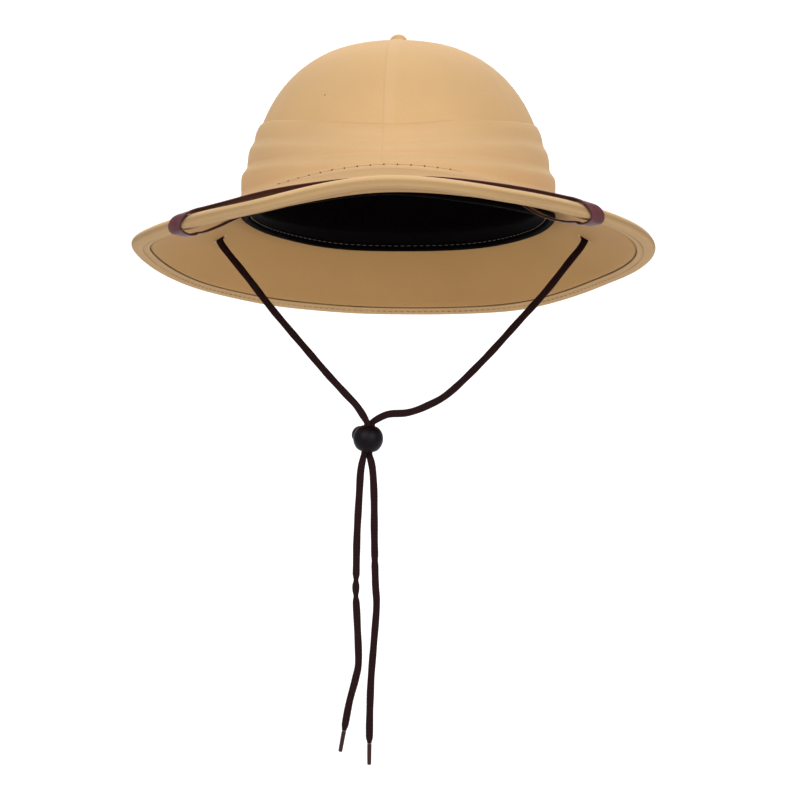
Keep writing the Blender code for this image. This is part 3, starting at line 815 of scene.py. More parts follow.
def lace_material(name, colour):
    """Braided lace: soft threads that run slantwise both ways, with painted shade in the
    braid's hollows and painted light on its ridges.
    """
    n = Nodes(name, 0.85)
    parts = n.add("ShaderNodeSeparateXYZ", Vector=n.weave())
    across, along = parts.outputs[0], parts.outputs[1]
    one_way = n.wave(n.math("ADD", across, along), 0.00085)
    other_way = n.wave(n.math("SUBTRACT", along, across), 0.00085)
    height = n.math("MAXIMUM", one_way, other_way)
    # Painted shade in the braid's hollows and painted light on its ridges.
    tone = n.ramp(height, shade_of(colour, 0.6), shade_of(colour, 1.5))
    return n.finish(tone, n.bump(height, 0.00012, 0.8), Sheen_Weight=0.05,
                    Sheen_Roughness=0.5, Specular_IOR_Level=0.08)


def plastic_material(name, colour, roughness, relief):
    """Moulded plastic with a fine matt texture."""
    n = Nodes(name, roughness)
    grain = n.noise(n.place(), 2600.0, 2.0)
    rough = n.math("ADD", n.math("MULTIPLY", grain, 0.15), roughness - 0.07)
    return n.finish(colour, n.bump(grain, relief, 0.5), rough, Specular_IOR_Level=0.16)


def thread_material(name, colour):
    """Twisted sewing thread."""
    n = Nodes(name, 0.75)
    twist = n.noise(n.place(), 3500.0, 1.0)
    tone = n.ramp(twist, shade_of(colour, 0.75), shade_of(colour, 1.2))
    return n.finish(tone, n.bump(twist, 0.00003, 0.5), Sheen_Weight=0.2)


def seam_relief(distance):
    """Rise of a flat felled seam at a distance across it: a low strip with one groove."""
    strip = (np.tanh((distance + seam_left) / 0.0005)
             - np.tanh((distance - seam_right) / 0.0013)) / 2
    groove = np.exp(-((distance + seam_left + seam_line) / seam_line) ** 2)
    return seam_rise * strip - seam_groove * groove, groove, strip


def seam_distance(azimuth, radius, seam):
    """Distance round the hat from a seam."""
    return radius * np.radians((azimuth - seam + 180.0) % 360.0 - 180.0)


def dome_levels(azimuth, height, rise):
    """Heights of a dome's rings, from the brim's seat at rise 0 to its top at rise 1."""
    level = height * np.sin(rise * math.pi / 2) ** (2 / crown_fullness)
    return level[None, :] + (seat_height(azimuth) + gap)[:, None] * (1.0 - rise) ** 2


def make_crown(surface):
    """The dome in six panels, with its seams and their painted shade and painted highlights, as
    a shell with its inner face.
    """
    azimuth = columns(seam_azimuths)
    turn = np.radians(azimuth)[:, None]
    z = dome_levels(azimuth, crown_height, np.linspace(0.0, 1.0, crown_rows))
    size = np.maximum(dome_share(z), pole_size)
    x = crown_half_width * size * np.sin(turn)
    y = -crown_half_length * size * np.cos(turn)
    radius = np.hypot(x, y)
    relief = np.zeros_like(z)
    painted_shade = np.zeros_like(z)
    painted_light = np.zeros_like(z)
    # Each seam's groove gets painted shade, and its raised strip a painted highlight.
    for seam in seam_azimuths:
        lift, groove, strip = seam_relief(seam_distance(azimuth[:, None], radius, seam))
        shows = 1.0 if seam == 0.0 else side_seam_share
        relief += lift * shows
        painted_shade = np.maximum(painted_shade, seam_shade * shows * groove)
        painted_light = np.maximum(painted_light, seam_highlight * shows * strip)
    top_fade = np.clip((radius - seam_end) / seam_fade, 0.0, 1.0)
    relief *= top_fade
    painted_shade *= top_fade
    painted_light *= top_fade
    ripple = wander(azimuth, 1.0)[:, None] * np.sin(z * ripple_turns) * cloth_ripple
    scale = 1.0 + (relief + ripple * top_fade) / crown_half_width
    outer = np.stack([x * scale, y * scale, z * (1.0 + relief / crown_half_width)], -1)
    inner_height = crown_height - crown_wall
    inner_z = dome_levels(azimuth, inner_height, np.linspace(1.0, 0.0, inner_rows))
    level = np.clip(inner_z / inner_height, 0.0, 1.0)
    inner_size = (1 - level ** crown_fullness) ** (1 / crown_squareness)
    inner_size = np.maximum(inner_size, pole_size)
    inner = np.stack([(crown_half_width - crown_wall) * inner_size * np.sin(turn),
                      -(crown_half_length - crown_wall) * inner_size * np.cos(turn),
                      inner_z], -1)
    points = np.concatenate([outer, inner], 1)
    return cloth_piece("crown_cloth", "crown", points, panel_uv(points, azimuth, 6), surface,
                       painted_shade, painted_light)


def make_button(surface):
    """The covered button: a low dome of cloth gathered to its edge."""
    azimuth = np.arange(0.0, 360.0, button_step)
    share = (button_radius / crown_half_width) ** crown_squareness
    foot = crown_height * (1 - share) ** (1 / crown_fullness) + 2 * gap
    base = crown_height + gap
    top = base + button_height
    turn = np.linspace(0.01, math.pi / 2, button_rows)
    gathers = np.cos(np.radians(azimuth) * button_puckers)[:, None] * np.sin(turn) ** 4
    pucker = 1.0 + button_pucker_depth * gathers
    radius = button_radius * np.sin(turn)[None, :] * pucker
    z = np.broadcast_to(foot + (top - foot) * np.cos(turn), radius.shape)
    under = np.broadcast_to([button_radius / 2, 0.00005], (len(azimuth), 2))
    radius = np.concatenate([radius, under], 1)
    z = np.concatenate([z, np.full((len(azimuth), 2), base)], 1)
    angle = np.radians(azimuth)[:, None]
    points = np.stack([radius * np.sin(angle), -radius * np.cos(angle), z], -1)
    return cloth_piece("crown_button_cloth", "crown_button", points,
                       panel_uv(points, azimuth, 1), surface)


def soft_step(t):
    """A smooth step from 0 to 1."""
    t = np.clip(t, 0.0, 1.0)
    return t * t * (3 - 2 * t)


def band_depth(azimuth, z):
    """Depth of the pleated band's face over the dome at height z, and its painted shade."""
    foot = seat_height(azimuth) + gap
    names = ("pleat_1", "pleat_2", "pleat_3")
    edge_dye_and_under_shades = [pleat_height * form(name, azimuth) for name in names]
    edge_dye_and_under_shades = [edge + pleat_wander * wander(azimuth, 2.0 + i) for i, edge in enumerate(edge_dye_and_under_shades)]
    ends = edge_dye_and_under_shades[1:] + [foot]
    depth = np.full(np.broadcast(azimuth, z).shape, pleat_cloth)
    painted_shade = np.zeros_like(depth)
    inside = pleat_cloth
    for step, upper, lower in zip(pleat_depths, edge_dye_and_under_shades, ends):
        size = upper - lower
        roll = np.minimum(pleat_roll, size * roll_limit)
        rise = 1.0 - (1.0 - np.clip((upper - z) / roll, 0.0, 1.0)) ** pleat_curve
        share = np.clip((upper - z) / size, 0.0, 1.0)
        belly = pleat_swell * np.sin(math.pi * share) - pleat_tuck * share
        depth = np.where(z <= upper, inside + (step - inside) * rise + belly, depth)
        dip = np.exp(-((z - upper) / pleat_line) ** 2)
        uneven = 0.6 + 0.4 * wander(azimuth, 7.0 + step * 900)
        depth = depth - pleat_groove * dip * uneven
        # Painted shade in the groove above each pleat.
        painted_shade = np.maximum(painted_shade, dip * pleat_shade)
        inside = step - pleat_tuck
    return depth, painted_shade


def band_face(azimuth):
    """The band's outer face down to the brim, as sections of rho and z, with its painted shade.
    """
    foot = seat_height(azimuth) + gap
    top = pleat_height * form("pleat_1", azimuth) + pleat_wander * wander(azimuth, 2.0)
    low = foot + foot_fillet
    share = np.linspace(0.0, 1.0, band_rows)[None, :]
    z = top[:, None] + (low - top)[:, None] * share
    spread = (-2, -1, 0, 1, 2)
    layers = [band_depth(azimuth[:, None], z + k * pleat_softness) for k in spread]
    depth = sum(layer[0] for layer in layers) / len(spread)
    painted_shade = layers[2][1]
    edge = soft_step(share / edge_share)
    depth = (depth + edge_tuck) * edge - edge_tuck
    turn = azimuth[:, None]
    for seam in (0.0, 180.0):
        lift, groove, _ = seam_relief(seam_distance(turn, crown_half_length, seam))
        depth = depth + lift * band_seam_share * edge
        # Painted shade in the seams' grooves.
        painted_shade = np.maximum(painted_shade, seam_shade * groove)
    face = np.stack([dome_rho(turn, z) + depth, z], -1)
    start = face[:, -1]
    span = brim_overhang * form("reach", azimuth) - seat_width - rim_radius
    knee = brim_top(azimuth, 0.0) + np.array([0.0, gap])
    knee[:, 0] = start[:, 0]
    end = brim_top(azimuth, foot_reach / span) + np.array([0.0, foot_cloth])
    rows = []
    for t in np.linspace(0.0, 1.0, foot_rows)[1:]:
        rows.append(start * (1 - t) ** 2 + knee * (2 * t * (1 - t)) + end * t * t)
    return np.concatenate([face, np.stack(rows, 1)], 1), painted_shade, span, top, foot


def make_band(surface):
    """The pleated band: three soft rolls and a foot that blends into the brim, with painted
    light over its face.
    """
    azimuth = columns((0.0, 180.0))
    face, painted_shade, span, top, foot = band_face(azimuth)
    outer = loft_points(azimuth, face)
    under = [brim_top(azimuth, foot_reach / span * part) + np.array([0.0, foot_cloth / 2])
             for part in (1.0, 0.5, 0.0)]
    under = loft_points(azimuth, np.stack(under, 1))
    levels = np.linspace(1.0, 0.0, 6)[None, :]
    back_z = top[:, None] + (foot - top)[:, None] * levels
    depth = np.where(levels == 1.0, -2 * edge_tuck, cloth_gap)
    inner = plan(azimuth[:, None], dome_rho(azimuth[:, None], back_z) + depth, back_z)
    points = np.concatenate([outer, under, inner], 1)
    # Painted light over the band, rising from nothing at its top edge.
    painted_light = band_painted_light * soft_step(np.linspace(0.0, 4.0, points.shape[1]))
    return cloth_piece("band_cloth", "pleated_band", points, panel_uv(points, azimuth, 1),
                       surface, painted_shade, painted_light[None])


def brim_under(azimuth, s, depth):
    """The brim's section at share s, this deep under its upper face."""
    here, _, up = brim_frame(azimuth, s)
    return here - up * depth


def brim_outline(azimuth, under_rows):
    """The brim's section over its top, round its edge and along its border.

    Gives its points and the border's end, as a share of the upper face.
    """
    seat = seat_height(azimuth)
    zero = np.zeros_like(seat)
    rows = [np.stack([zero, seat], -1), np.stack([zero + seat_width, seat], -1)]
    for i in range(1, top_samples + 1):
        rows.append(brim_top(azimuth, i / top_samples))
    end, out, up = brim_frame(azimuth, 1.0)
    centre = end - up * rim_radius
    for i in range(1, edge_arcs + 1):
        turn = math.pi * i / edge_arcs
        rows.append(centre + rim_radius * (up * math.cos(turn) + out * math.sin(turn)))
    share = border_share(azimuth)
    for i in range(1, under_rows + 1):
        s = 1.0 + (share - 1.0) * i / under_rows
        rows.append(brim_under(azimuth, s, rim_thickness))
    return rows, share


def skin_outline(azimuth):
    """The brim's skin from its seat round the edge to the sweatband, as one line."""
    rows, share = brim_outline(azimuth, skin_border_rows)
    rows = rows[1:]
    outermost = top_samples + edge_arcs // 2
    for part in (lining_start,) + UNDER_SHARES:
        rows.append(brim_under(azimuth, share * part, lining_under))
    rows.append(np.stack([np.full_like(share, cloth_gap),
                          seat_height(azimuth) - lining_under], -1))
    return np.stack(rows, -2), outermost


def on_skin(azimuth, along, height):
    """Points height above the brim's skin, by their distance round the section's edge."""
    line, outermost = skin_outline(azimuth)
    length = measure(line)
    goal = np.clip(length[:, outermost] + along, 0.0, length[:, -1] - 1e-6)
    index = (length <= goal[:, None]).sum(1) - 1
    index = index.clip(0, line.shape[1] - 2)
    pick = np.arange(len(line))
    share = ((goal - length[pick, index])
             / (length[pick, index + 1] - length[pick, index]))[:, None]
    here = line[pick, index] * (1 - share) + line[pick, index + 1] * share
    tangent = unit(np.gradient(line, axis=1))
    run = unit(tangent[pick, index] * (1 - share) + tangent[pick, index + 1] * share)
    place = here + square_to(run) * np.asarray(height)[..., None]
    return plan(azimuth, place[:, 0], place[:, 1])


def make_brim(surface):
    """The brim with its rolled rim, and the border that is turned under it, with a painted
    highlight on the rim's crest and painted shade on the rim and border.
    """
    azimuth = columns(coarse=brim_step)
    rows, share = brim_outline(azimuth, border_rows)
    top_rows = 2 + top_samples
    section = np.stack(rows, -2)
    relief = np.zeros(section.shape[:2])
    painted_shade = np.zeros(section.shape[:2])
    length = measure(section)
    past = length - length[:, top_rows - 1][:, None]
    for centre, spread, places in RIM_FOLDS:
        off = np.abs((azimuth - centre + 180.0) % 360.0 - 180.0)
        near = np.clip(1.5 - 1.5 * off / spread, 0.0, 1.0)[:, None]
        for place in places:
            fold = near * np.exp(-((past - place) / fold_width) ** 2)
            relief -= fold_depth * fold
            # Each fold also gets painted shade.
            painted_shade = np.maximum(painted_shade, fold_shade * fold)
    # A painted highlight along the rim's crest, and painted shade on the rim's lower half.
    crest_highlight = np.exp(-((past - rim_radius * crest_share) / crest_width) ** 2)
    radii = past / rim_radius
    shaded = soft_step((radii - 1.0) / 0.5) * (1.0 - 0.85 * soft_step((radii - 1.6) / 0.8))
    painted_shade = np.maximum(painted_shade, rim_shade * shaded)
    border_start = length[:, top_rows + edge_arcs - 1]
    inward = (length - border_start[:, None]) / border_width
    valley = np.exp(-((inward - border_stitch_share) / 0.10) ** 2)
    relief -= stitch_valley * valley
    # Painted shade in the stitch row's valley, and towards the groove at the border's lip.
    painted_shade = np.maximum(painted_shade, stitch_shade * valley)
    lip = np.clip((inward - lip_share) / 0.05, 0.0, 1.0)
    painted_shade = np.maximum(painted_shade, groove_shade * lip)
    ripple = wander(azimuth, 4.0, (4, 7, 11, 17))[:, None]
    relief += rim_ripple * ripple * np.clip(radii, 0.0, 1.0)
    normal = square_to(unit(np.gradient(section, axis=1)))
    section = section + normal * relief[..., None]
    core = [brim_under(azimuth, share, core_thickness)]
    core += [brim_under(azimuth, share * part, core_thickness) for part in UNDER_SHARES]
    core.append(np.stack([np.zeros_like(share), seat_height(azimuth) - core_thickness], -1))
    section = np.concatenate([section, np.stack(core, -2)], 1)
    # Painted shade, nearly full, where the border's lip steps up to the core beside the lining.
    painted_shade = np.concatenate([painted_shade, np.full((len(azimuth), 1), back_shade)], 1)
    points = loft_points(azimuth, section)
    flat = points[..., :2]
    around = measure(np.concatenate([points[:, top_rows], points[:1, top_rows]])[None])[0]
    planar = face_corners(flat, np.roll(flat, -1, 0))
    along = measure(points)
    edge_left = np.stack([np.broadcast_to(around[:-1, None], along.shape), along], -1)
    edge_right = np.stack([np.broadcast_to(around[1:, None], along.shape),
                           np.roll(along, -1, 0)], -1)
    wrapped = face_corners(edge_left, edge_right)
    rim = slice(top_rows - blend_rows, top_rows + edge_arcs + border_rows + 1)
    planar[:, rim] = wrapped[:, rim]
    return cloth_piece("brim_cloth", "brim", points, planar, surface, painted_shade, crest_highlight)


def make_lining(surface):
    """The padded lining, which swells almost flush with the border at its edge, with painted
    shade in its edge groove and a painted shadow of a head towards the opening.
    """
    azimuth = columns(coarse=brim_step)
    share = border_share(azimuth)
    stations = [(1.0, inset, inset, (1.0 - min(inset / edge_rounding, 1.0)) ** 2)
                for inset in EDGE_INSETS]
    stations += [(part, 0.0, (1.0 - part) * brim_length, 0.0)
                 for part in np.linspace(0.90, innermost, lining_rows)]
    upper, under, painted_shades = [], [], []
    for part, inset, from_edge, round_share in stations:
        here, out, up = brim_frame(azimuth, share * part)
        start = here - out * (cloth_gap + inset)
        swell = lining_swell * math.exp(-(from_edge / swell_reach) ** 2)
        rounding = edge_drop * round_share
        upper.append(start - up * lining_top)
        under.append(start - up * (lining_under + swell - rounding))
        # Painted shade: a dark line in the groove at the lining's edge, and a painted shadow of
        # a head towards the inner edge.
        near_head = math.exp(-((part - innermost) / head_shade_reach) ** 2)
        painted_shades.append(groove_shade * math.exp(-(from_edge / groove_width) ** 2)
                       + head_shade * near_head)
    seat = seat_height(azimuth)
    upper.append(np.stack([np.full_like(seat, cloth_gap), seat - lining_top], -1))
    under.append(np.stack([np.full_like(seat, cloth_gap), seat - lining_under], -1))
    painted_shades.append(head_shade)
    back = [upper[0]] + upper[len(EDGE_INSETS)::6] + [upper[-1]]
    section = np.stack(back + under[::-1], -2)
    points = loft_points(azimuth, section)
    flat = points[..., :2]
    painted_shade = np.array([painted_shades[0]] + [0.0] * (len(back) - 1) + painted_shades[::-1])
    return cloth_piece("lining_cloth", "brim_lining", points,
                       face_corners(flat, np.roll(flat, -1, 0)), surface, painted_shade[None])


def sweatband_line(azimuth):
    """The sweatband's seat, its bend, its roll's middle and the directions of its skirt."""
    seat = seat_height(azimuth)
    knee = seat - lining_under - 2 * cloth_gap
    drop = sweatband_drop * form("hang", azimuth)
    roll = np.stack([np.full_like(seat, sweatband_flare), knee - drop], -1)
    start = np.stack([np.full_like(seat, -cloth_gap), knee], -1)
    slant = unit(roll - start)
    return seat, start, roll, slant, square_to(slant)


def make_sweatband(surface):
    """The ribbed sweatband, its flared skirt and its rolled lower edge, with painted highlights
    on its ribs.
    """
    azimuth = np.linspace(0.0, 360.0, sweatband_ribs * 3, endpoint=False)
    seat, start, roll, slant, side = sweatband_line(azimuth)
    thick = sweatband_thickness

    def wall(part, depth):
        """A row of the upright part, this far inside the crown's inner face."""
        z = seat + sweatband_height * part
        return np.stack([dome_rho(azimuth, z) - crown_wall - depth, z], -1)

    def round_roll(degrees):
        """A row on the rolled edge."""
        turn = math.radians(degrees)
        return roll + sweatband_roll * (side * math.sin(turn) + slant * math.cos(turn))

    rows = [wall(part, cloth_gap) for part in SWEATBAND_SHARES] + [start]
    skirt_first = len(rows)
    first = round_roll(roll_start)
    rows += [start + (first - start) * share for share in (0.25, 0.5, 0.7, 0.85)]
    skirt_last = len(rows)
    rows += [round_roll(roll_start - roll_sweep * i / roll_arcs) for i in range(roll_arcs + 1)]
    back = len(rows)
    skirt = start - np.array([thick, thick])
    last = rows[-1]
    rows += [last + (skirt - last) * share for share in (0.2, 0.4, 0.6, 0.8, 1.0)]
    rows += [wall(part, cloth_gap + thick) for part in SWEATBAND_SHARES[::-1]]
    section = np.stack(rows, -2)
    ribs = np.cos(np.arange(len(azimuth)) * 2 * math.pi / 3)[:, None]
    face = np.zeros(section.shape[1])
    face[back:] = 1.0
    face[skirt_first:skirt_last] = -1.0
    section[..., 0] += sweatband_rib_depth * ribs * face
    points = loft_points(azimuth, section)
    # The ribs' crests carry a painted highlight.
    crest_highlight = np.broadcast_to((ribs * 0.5 + 0.5) * np.abs(face), section.shape[:2])
    piece = grid_piece("sweatband_vinyl", points, panel_uv(points, azimuth, 1),
                       attributes={"crest_highlight": crest_highlight})
    return dress(piece, surface, nodes=["sweatband"])


def smooth_route(points, pitch):
    """Points about a pitch apart on a smooth curve that keeps the route's own points."""
    points = [Vector(p) for p in points]
    ends = [points[0] * 2 - points[1]] + points + [points[-1] * 2 - points[-2]]
    route = []
    for p0, p1, p2, p3 in zip(ends, ends[1:], ends[2:], ends[3:]):
        steps = max(round((p2 - p1).length / pitch), 1)
        for i in range(steps):
            t = i / steps
            bend = (p0 * 2 - p1 * 5 + p2 * 4 - p3) * (t * t)
            twist = (p1 * 3 - p0 - p2 * 3 + p3) * (t * t * t)
            route.append(p1 + ((p2 - p0) * t + bend + twist) * 0.5)
    return np.array([tuple(p) for p in route + [points[-1]]])


def make_strap(surface):
    """The leather strap, with rounded edges, laid on the brim and wrapped round its rim."""
    turn = strap_azimuth * degree_length
    left = [(-turn * row.turn, brim_overhang * row.along, row.left) for row in STRAP]
    right = [(turn * row.turn, brim_overhang * row.along, row.right) for row in STRAP]
    route = smooth_route(left[:0:-1] + right, strap_pitch)
    azimuth, along = route[:, 0] / degree_length, route[:, 1]
    lift = np.maximum(route[:, 2], 0.0)
    tilt = strap_tilt_share * lift / (strap_width / 2) * (along < 0)
    arm = np.linalg.norm(on_skin(azimuth + 0.5, along, np.zeros(len(along)))
                         - on_skin(azimuth - 0.5, along, np.zeros(len(along))), axis=1)
    run = np.gradient(azimuth) * arm
    rise = np.gradient(along)
    length = np.hypot(run, rise)
    run, rise = run / length, rise / length
    rows, edge_dye_and_under_shades = [], []
    for k in range(strap_corners):
        turn = 2 * math.pi * k / strap_corners
        wide = math.copysign(abs(math.cos(turn)) ** strap_squareness, math.cos(turn))
        high = math.copysign(abs(math.sin(turn)) ** strap_flatness, math.sin(turn))
        reach = strap_width / 2 * wide
        height = strap_gap + lift + strap_thickness * (0.5 + 0.5 * high) + tilt * reach
        rows.append(on_skin(azimuth - reach * rise / arm, along + reach * run, height))
        # The side edges are darker, and the underside gets painted shade.
        side = max(0.0, (abs(wide) - strap_edge_start) / (1.0 - strap_edge_start))
        edge_dye_and_under_shade = strap_edge_shade * side + strap_under_shade * max(0.0, -high) ** 2
        edge_dye_and_under_shades.append(np.full(len(along), edge_dye_and_under_shade))
    points = np.stack(rows, 1)
    distance = measure(points[:, 0][None])[0]
    girth = measure(points)
    uv = np.stack([np.broadcast_to(distance[:, None], girth.shape), girth], -1)
    piece = grid_piece("strap_leather", points, face_corners(uv[:-1], uv[1:]), around=False,
                       attributes={"edge": np.clip(np.stack(edge_dye_and_under_shades, 1), 0.0, 1.0)})
    return dress(piece, surface, nodes=["brim_strap"])


def side_name(side):
    """The side as seen from the front, from the sign of x."""
    return "left" if side < 0 else "right"


def lock_frame():
    """The lock's own frame: x across both cords, y out along the plunger, z the cords."""
    turn = math.radians(plunger_turn)
    tilt = math.radians(plunger_tilt)
    out = Vector((-math.cos(turn) * math.cos(tilt), math.sin(turn) * math.cos(tilt),
                  math.sin(tilt)))
    across = out.cross(Vector((0, 0, 1))).normalized()
    up = across.cross(out).normalized()
    turned = Matrix((across, out, up)).transposed().to_4x4()
    return Matrix.Translation(lock_centre) @ turned


def cord_route(side, drop, tail):
    """A cord's own points, from its slit through the lock to its aglet."""
    start = Vector((slit_x * side, slit_y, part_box("chin_cord_" + side_name(side))[1].z))
    lead = (start.x, start.y, start.z - slit_lead)
    place = lock_frame()
    end = lock_half_height + lock_lead
    heights = (end, lock_half_height, 0.0, -lock_half_height, -end)
    through = [tuple(place @ Vector((cord_spacing * side, 0.0, z))) for z in heights]
    return [tuple(start), lead] + list(drop) + through + list(tail)


def make_lace(name, side, drop, tail, turns, pinches, surface):
    """One flat lace along its cord's route, pressed together where the lock holds it."""
    path = smooth_route(cord_route(side, drop, tail), lace_ring_pitch)
    tangent = unit(np.gradient(path, axis=0))
    wide = unit(np.cross(tangent, (0.0, 1.0, 0.0)))
    thick = np.cross(tangent, wide)
    turn = np.zeros(len(path))
    below = 0.0
    for height, angle, spread in turns:
        turn += math.radians(angle - below) * soft_step(
            (height + spread - path[:, 2]) / (2 * spread))
        below = angle
    place = measure(path[None])[0]
    lock_gap = np.linalg.norm(path - np.array(lock_centre), axis=1)
    pressed = 1.0 - soft_step((lock_gap - lock_half_height) / press_reach)
    slit_held = 1.0 - soft_step(place / slit_reach)
    taper = 1.0 - soft_step((place[-1] - place) / tip_reach)
    half_width = lace_width / 2 * (1 - pressed) + pressed_half[0] * pressed
    half_width = half_width * (1 - taper) + tip_half[0] * taper
    half_thick = lace_thickness / 2 * (1 - pressed) + pressed_half[1] * pressed
    half_thick = half_thick * (1 - taper) + tip_half[1] * taper
    half_width = half_width * (1 + lace_waver * np.sin(place * waver_turns + side))
    for height, left in pinches:
        half_width = half_width * (1 - (1 - left) * np.exp(
            -((path[:, 2] - height) / pinch_reach) ** 2))
    half_thick = half_thick * (1 - slit_pinch * slit_held)
    angle = np.arange(lace_corners) * 2 * math.pi / lace_corners
    cos, sin = np.cos(angle), np.sin(angle)
    ring_x = np.sign(cos) * np.abs(cos) ** lace_squareness
    ring_y = np.sign(sin) * np.abs(sin) ** lace_squareness
    slant = 2.0 * np.abs(cos)[None, :] * math.pi
    braid = np.cos(place[:, None] * 2 * math.pi / braid_pitch + slant)
    rib = 1.0 + lace_rib_depth / (lace_width / 2) * braid * np.abs(sin)[None, :]
    a = half_width[:, None] * ring_x[None, :] * (1 + braid_swell * braid)
    b = half_thick[:, None] * ring_y[None, :] * rib
    c, s = np.cos(turn)[:, None], np.sin(turn)[:, None]
    across, deep = a * c - b * s, a * s + b * c
    points = (path[:, None] + wide[:, None] * across[..., None]
              + thick[:, None] * deep[..., None])
    girth = np.broadcast_to(angle[None, :] * lace_width / 2, across.shape)
    uv = np.stack([girth, np.broadcast_to(place[:, None], girth.shape)], -1)
    piece = grid_piece(name, points, face_corners(uv[:-1], uv[1:]), around=False)
    dress(piece, surface, nodes=["chin_cord_" + side_name(side)])
    return piece, path


def make_aglet(name, path, node, surface):
    """The plastic sleeve on a lace's end, pinched a little at its mouth."""
    end = Vector(path[-1])
    run = (end - Vector(path[-8])).normalized()
    profile = ((0.02, 0.0), (0.80, 0.0), (0.94, 0.004), (1.0, 0.03), (0.97, 0.30),
               (0.95, 0.60), (0.90, 0.88), (0.86, 0.97), (0.78, 1.0), (0.02, 1.0))
    azimuth = np.arange(0.0, 360.0, aglet_step)
    angle = np.radians(azimuth)[:, None]
    radius = np.array([r for r, _ in profile])[None, :] * aglet_diameter / 2
    height = np.array([h for _, h in profile])[None, :] * aglet_length
    local = np.stack(np.broadcast_arrays(radius * np.cos(angle),
                                         radius * np.sin(angle) * aglet_flatness, height), -1)
    turn = Vector((0, 0, 1)).rotation_difference(run).to_matrix()
    points = local @ np.array(turn).T + np.array(end + run * gap)
    piece = grid_piece(name, points, panel_uv(local, azimuth, 1))
    return dress(piece, surface, nodes=[node])


def box_cutter(name, low, high, place=Matrix.Identity(4)):
    """A box between two corners of a frame, which is removed after its cut."""
    points = [tuple(place @ Vector((x, y, z)))
              for x in (low[0], high[0]) for y in (low[1], high[1]) for z in (low[2], high[2])]
    faces = [(0, 1, 3, 2), (4, 6, 7, 5), (0, 4, 5, 1), (2, 3, 7, 6), (0, 2, 6, 4), (1, 5, 7, 3)]
    return new_object(name, new_mesh(name, points, faces))


def cut(piece, tools):
    """Cuts a piece by its tools, keeps the result as its mesh and removes the tools."""
    for tool in tools:
        modifier = piece.modifiers.new(tool.name, "BOOLEAN")
        modifier.operation = "DIFFERENCE"
        modifier.solver = "EXACT"
        modifier.object = tool
    bpy.context.view_layer.update()
    evaluated = piece.evaluated_get(bpy.context.evaluated_depsgraph_get())
    mesh = bpy.data.meshes.new_from_object(evaluated)
    piece.modifiers.clear()
    old = piece.data
    piece.data = mesh
    mesh.name = old.name
    bpy.data.meshes.remove(old)
    for tool in tools:
        bpy.data.objects.remove(tool)
    return piece


def turned(name, profile, place):
    """A solid turned about the y axis of a frame, from radius and height pairs."""
    azimuth = np.arange(0.0, 360.0, turned_step)
    angle = np.radians(azimuth)[:, None]
    radius = np.array([r for r, _ in profile])[None, :]
    height = np.array([h for _, h in profile])[None, :]
    local = np.stack(np.broadcast_arrays(radius * np.cos(angle), height,
                                         radius * np.sin(angle)), -1)
    matrix = np.array(place)
    points = local @ matrix[:3, :3].T + matrix[:3, 3]
    return grid_piece(name, points, panel_uv(local[..., [0, 2, 1]], azimuth, 1))


def make_lock(surface):
    """The round cord lock with flattened ends, its cord slot and its bore."""
    place = lock_frame()
    reach = cord_diameter / 2 + gap
    slot_half = cord_spacing + reach
    bore_end = -(reach + plunger_wall + plunger_travel + gap)
    far = 2 * lock_radius
    azimuth = np.linspace(0.0, 360.0, lock_columns, endpoint=False)
    tilt = np.linspace(pole_turn, math.pi - pole_turn, lock_rows)[None, :]
    angle = np.radians(azimuth)[:, None]
    flat = lock_half_height / np.maximum(np.abs(np.cos(tilt)), 0.01)
    size = (lock_radius ** -lock_edge + flat ** -lock_edge) ** (-1 / lock_edge)
    local = np.stack(np.broadcast_arrays(size * np.sin(tilt) * np.cos(angle),
                                         size * np.sin(tilt) * np.sin(angle),
                                         size * np.cos(tilt)), -1)
    matrix = np.array(place)
    points = local @ matrix[:3, :3].T + matrix[:3, 3]
    body = grid_piece("cord_lock_ball", points, panel_uv(local, azimuth, 1))
    bore = plunger_radius + gap
    mouth = math.sqrt(lock_radius ** 2 - bore ** 2)
    profile = ((thin_tip, bore_end), (bore, bore_end), (bore, mouth - mouth_bevel),
               (bore + bevel, mouth - bevel), (bore + mouth_bevel, mouth + bevel),
               (bore + 0.003, mouth + 0.002), (thin_tip, mouth + 0.002))
    tools = [box_cutter("slot_cut", (-slot_half, -reach, -far), (slot_half, reach, far), place),
             turned("bore_cut", profile, place)]
    cut(body, tools)
    body.data.set_sharp_from_angle(angle=sharp_angle)
    return dress(body, surface, nodes=["cord_lock_body"])


def make_plunger(surface):
    """The push button with its rounded, slightly dished head and its cord slot."""
    place = lock_frame()
    reach = cord_diameter / 2 + gap
    slot_half = cord_spacing + reach
    inner = -(reach + plunger_wall)
    outer = lock_radius + plunger_travel + plunger_proud - gap
    round_edge = plunger_radius * 0.3
    profile = [(thin_tip, inner), (plunger_radius - bevel, inner),
               (plunger_radius, inner + bevel)]
    for i in range(9):
        turn = math.pi / 2 * i / 8
        profile.append((plunger_radius - round_edge * (1 - math.cos(turn)),
                        outer - round_edge * (1 - math.sin(turn))))
    profile.append((plunger_radius * 0.55, outer - dish_depth / 2))
    profile.append((thin_tip, outer - dish_depth))
    piece = turned("push_button_cap", profile, place)
    far = 2 * lock_radius
    cut(piece, [box_cutter("plunger_cut", (-slot_half, -reach, -far),
                           (slot_half, reach + plunger_travel, far), place)])
    piece.data.set_sharp_from_angle(angle=sharp_angle)
    return dress(piece, surface, body="push_button",
                 nodes=["cord_lock_plunger"])


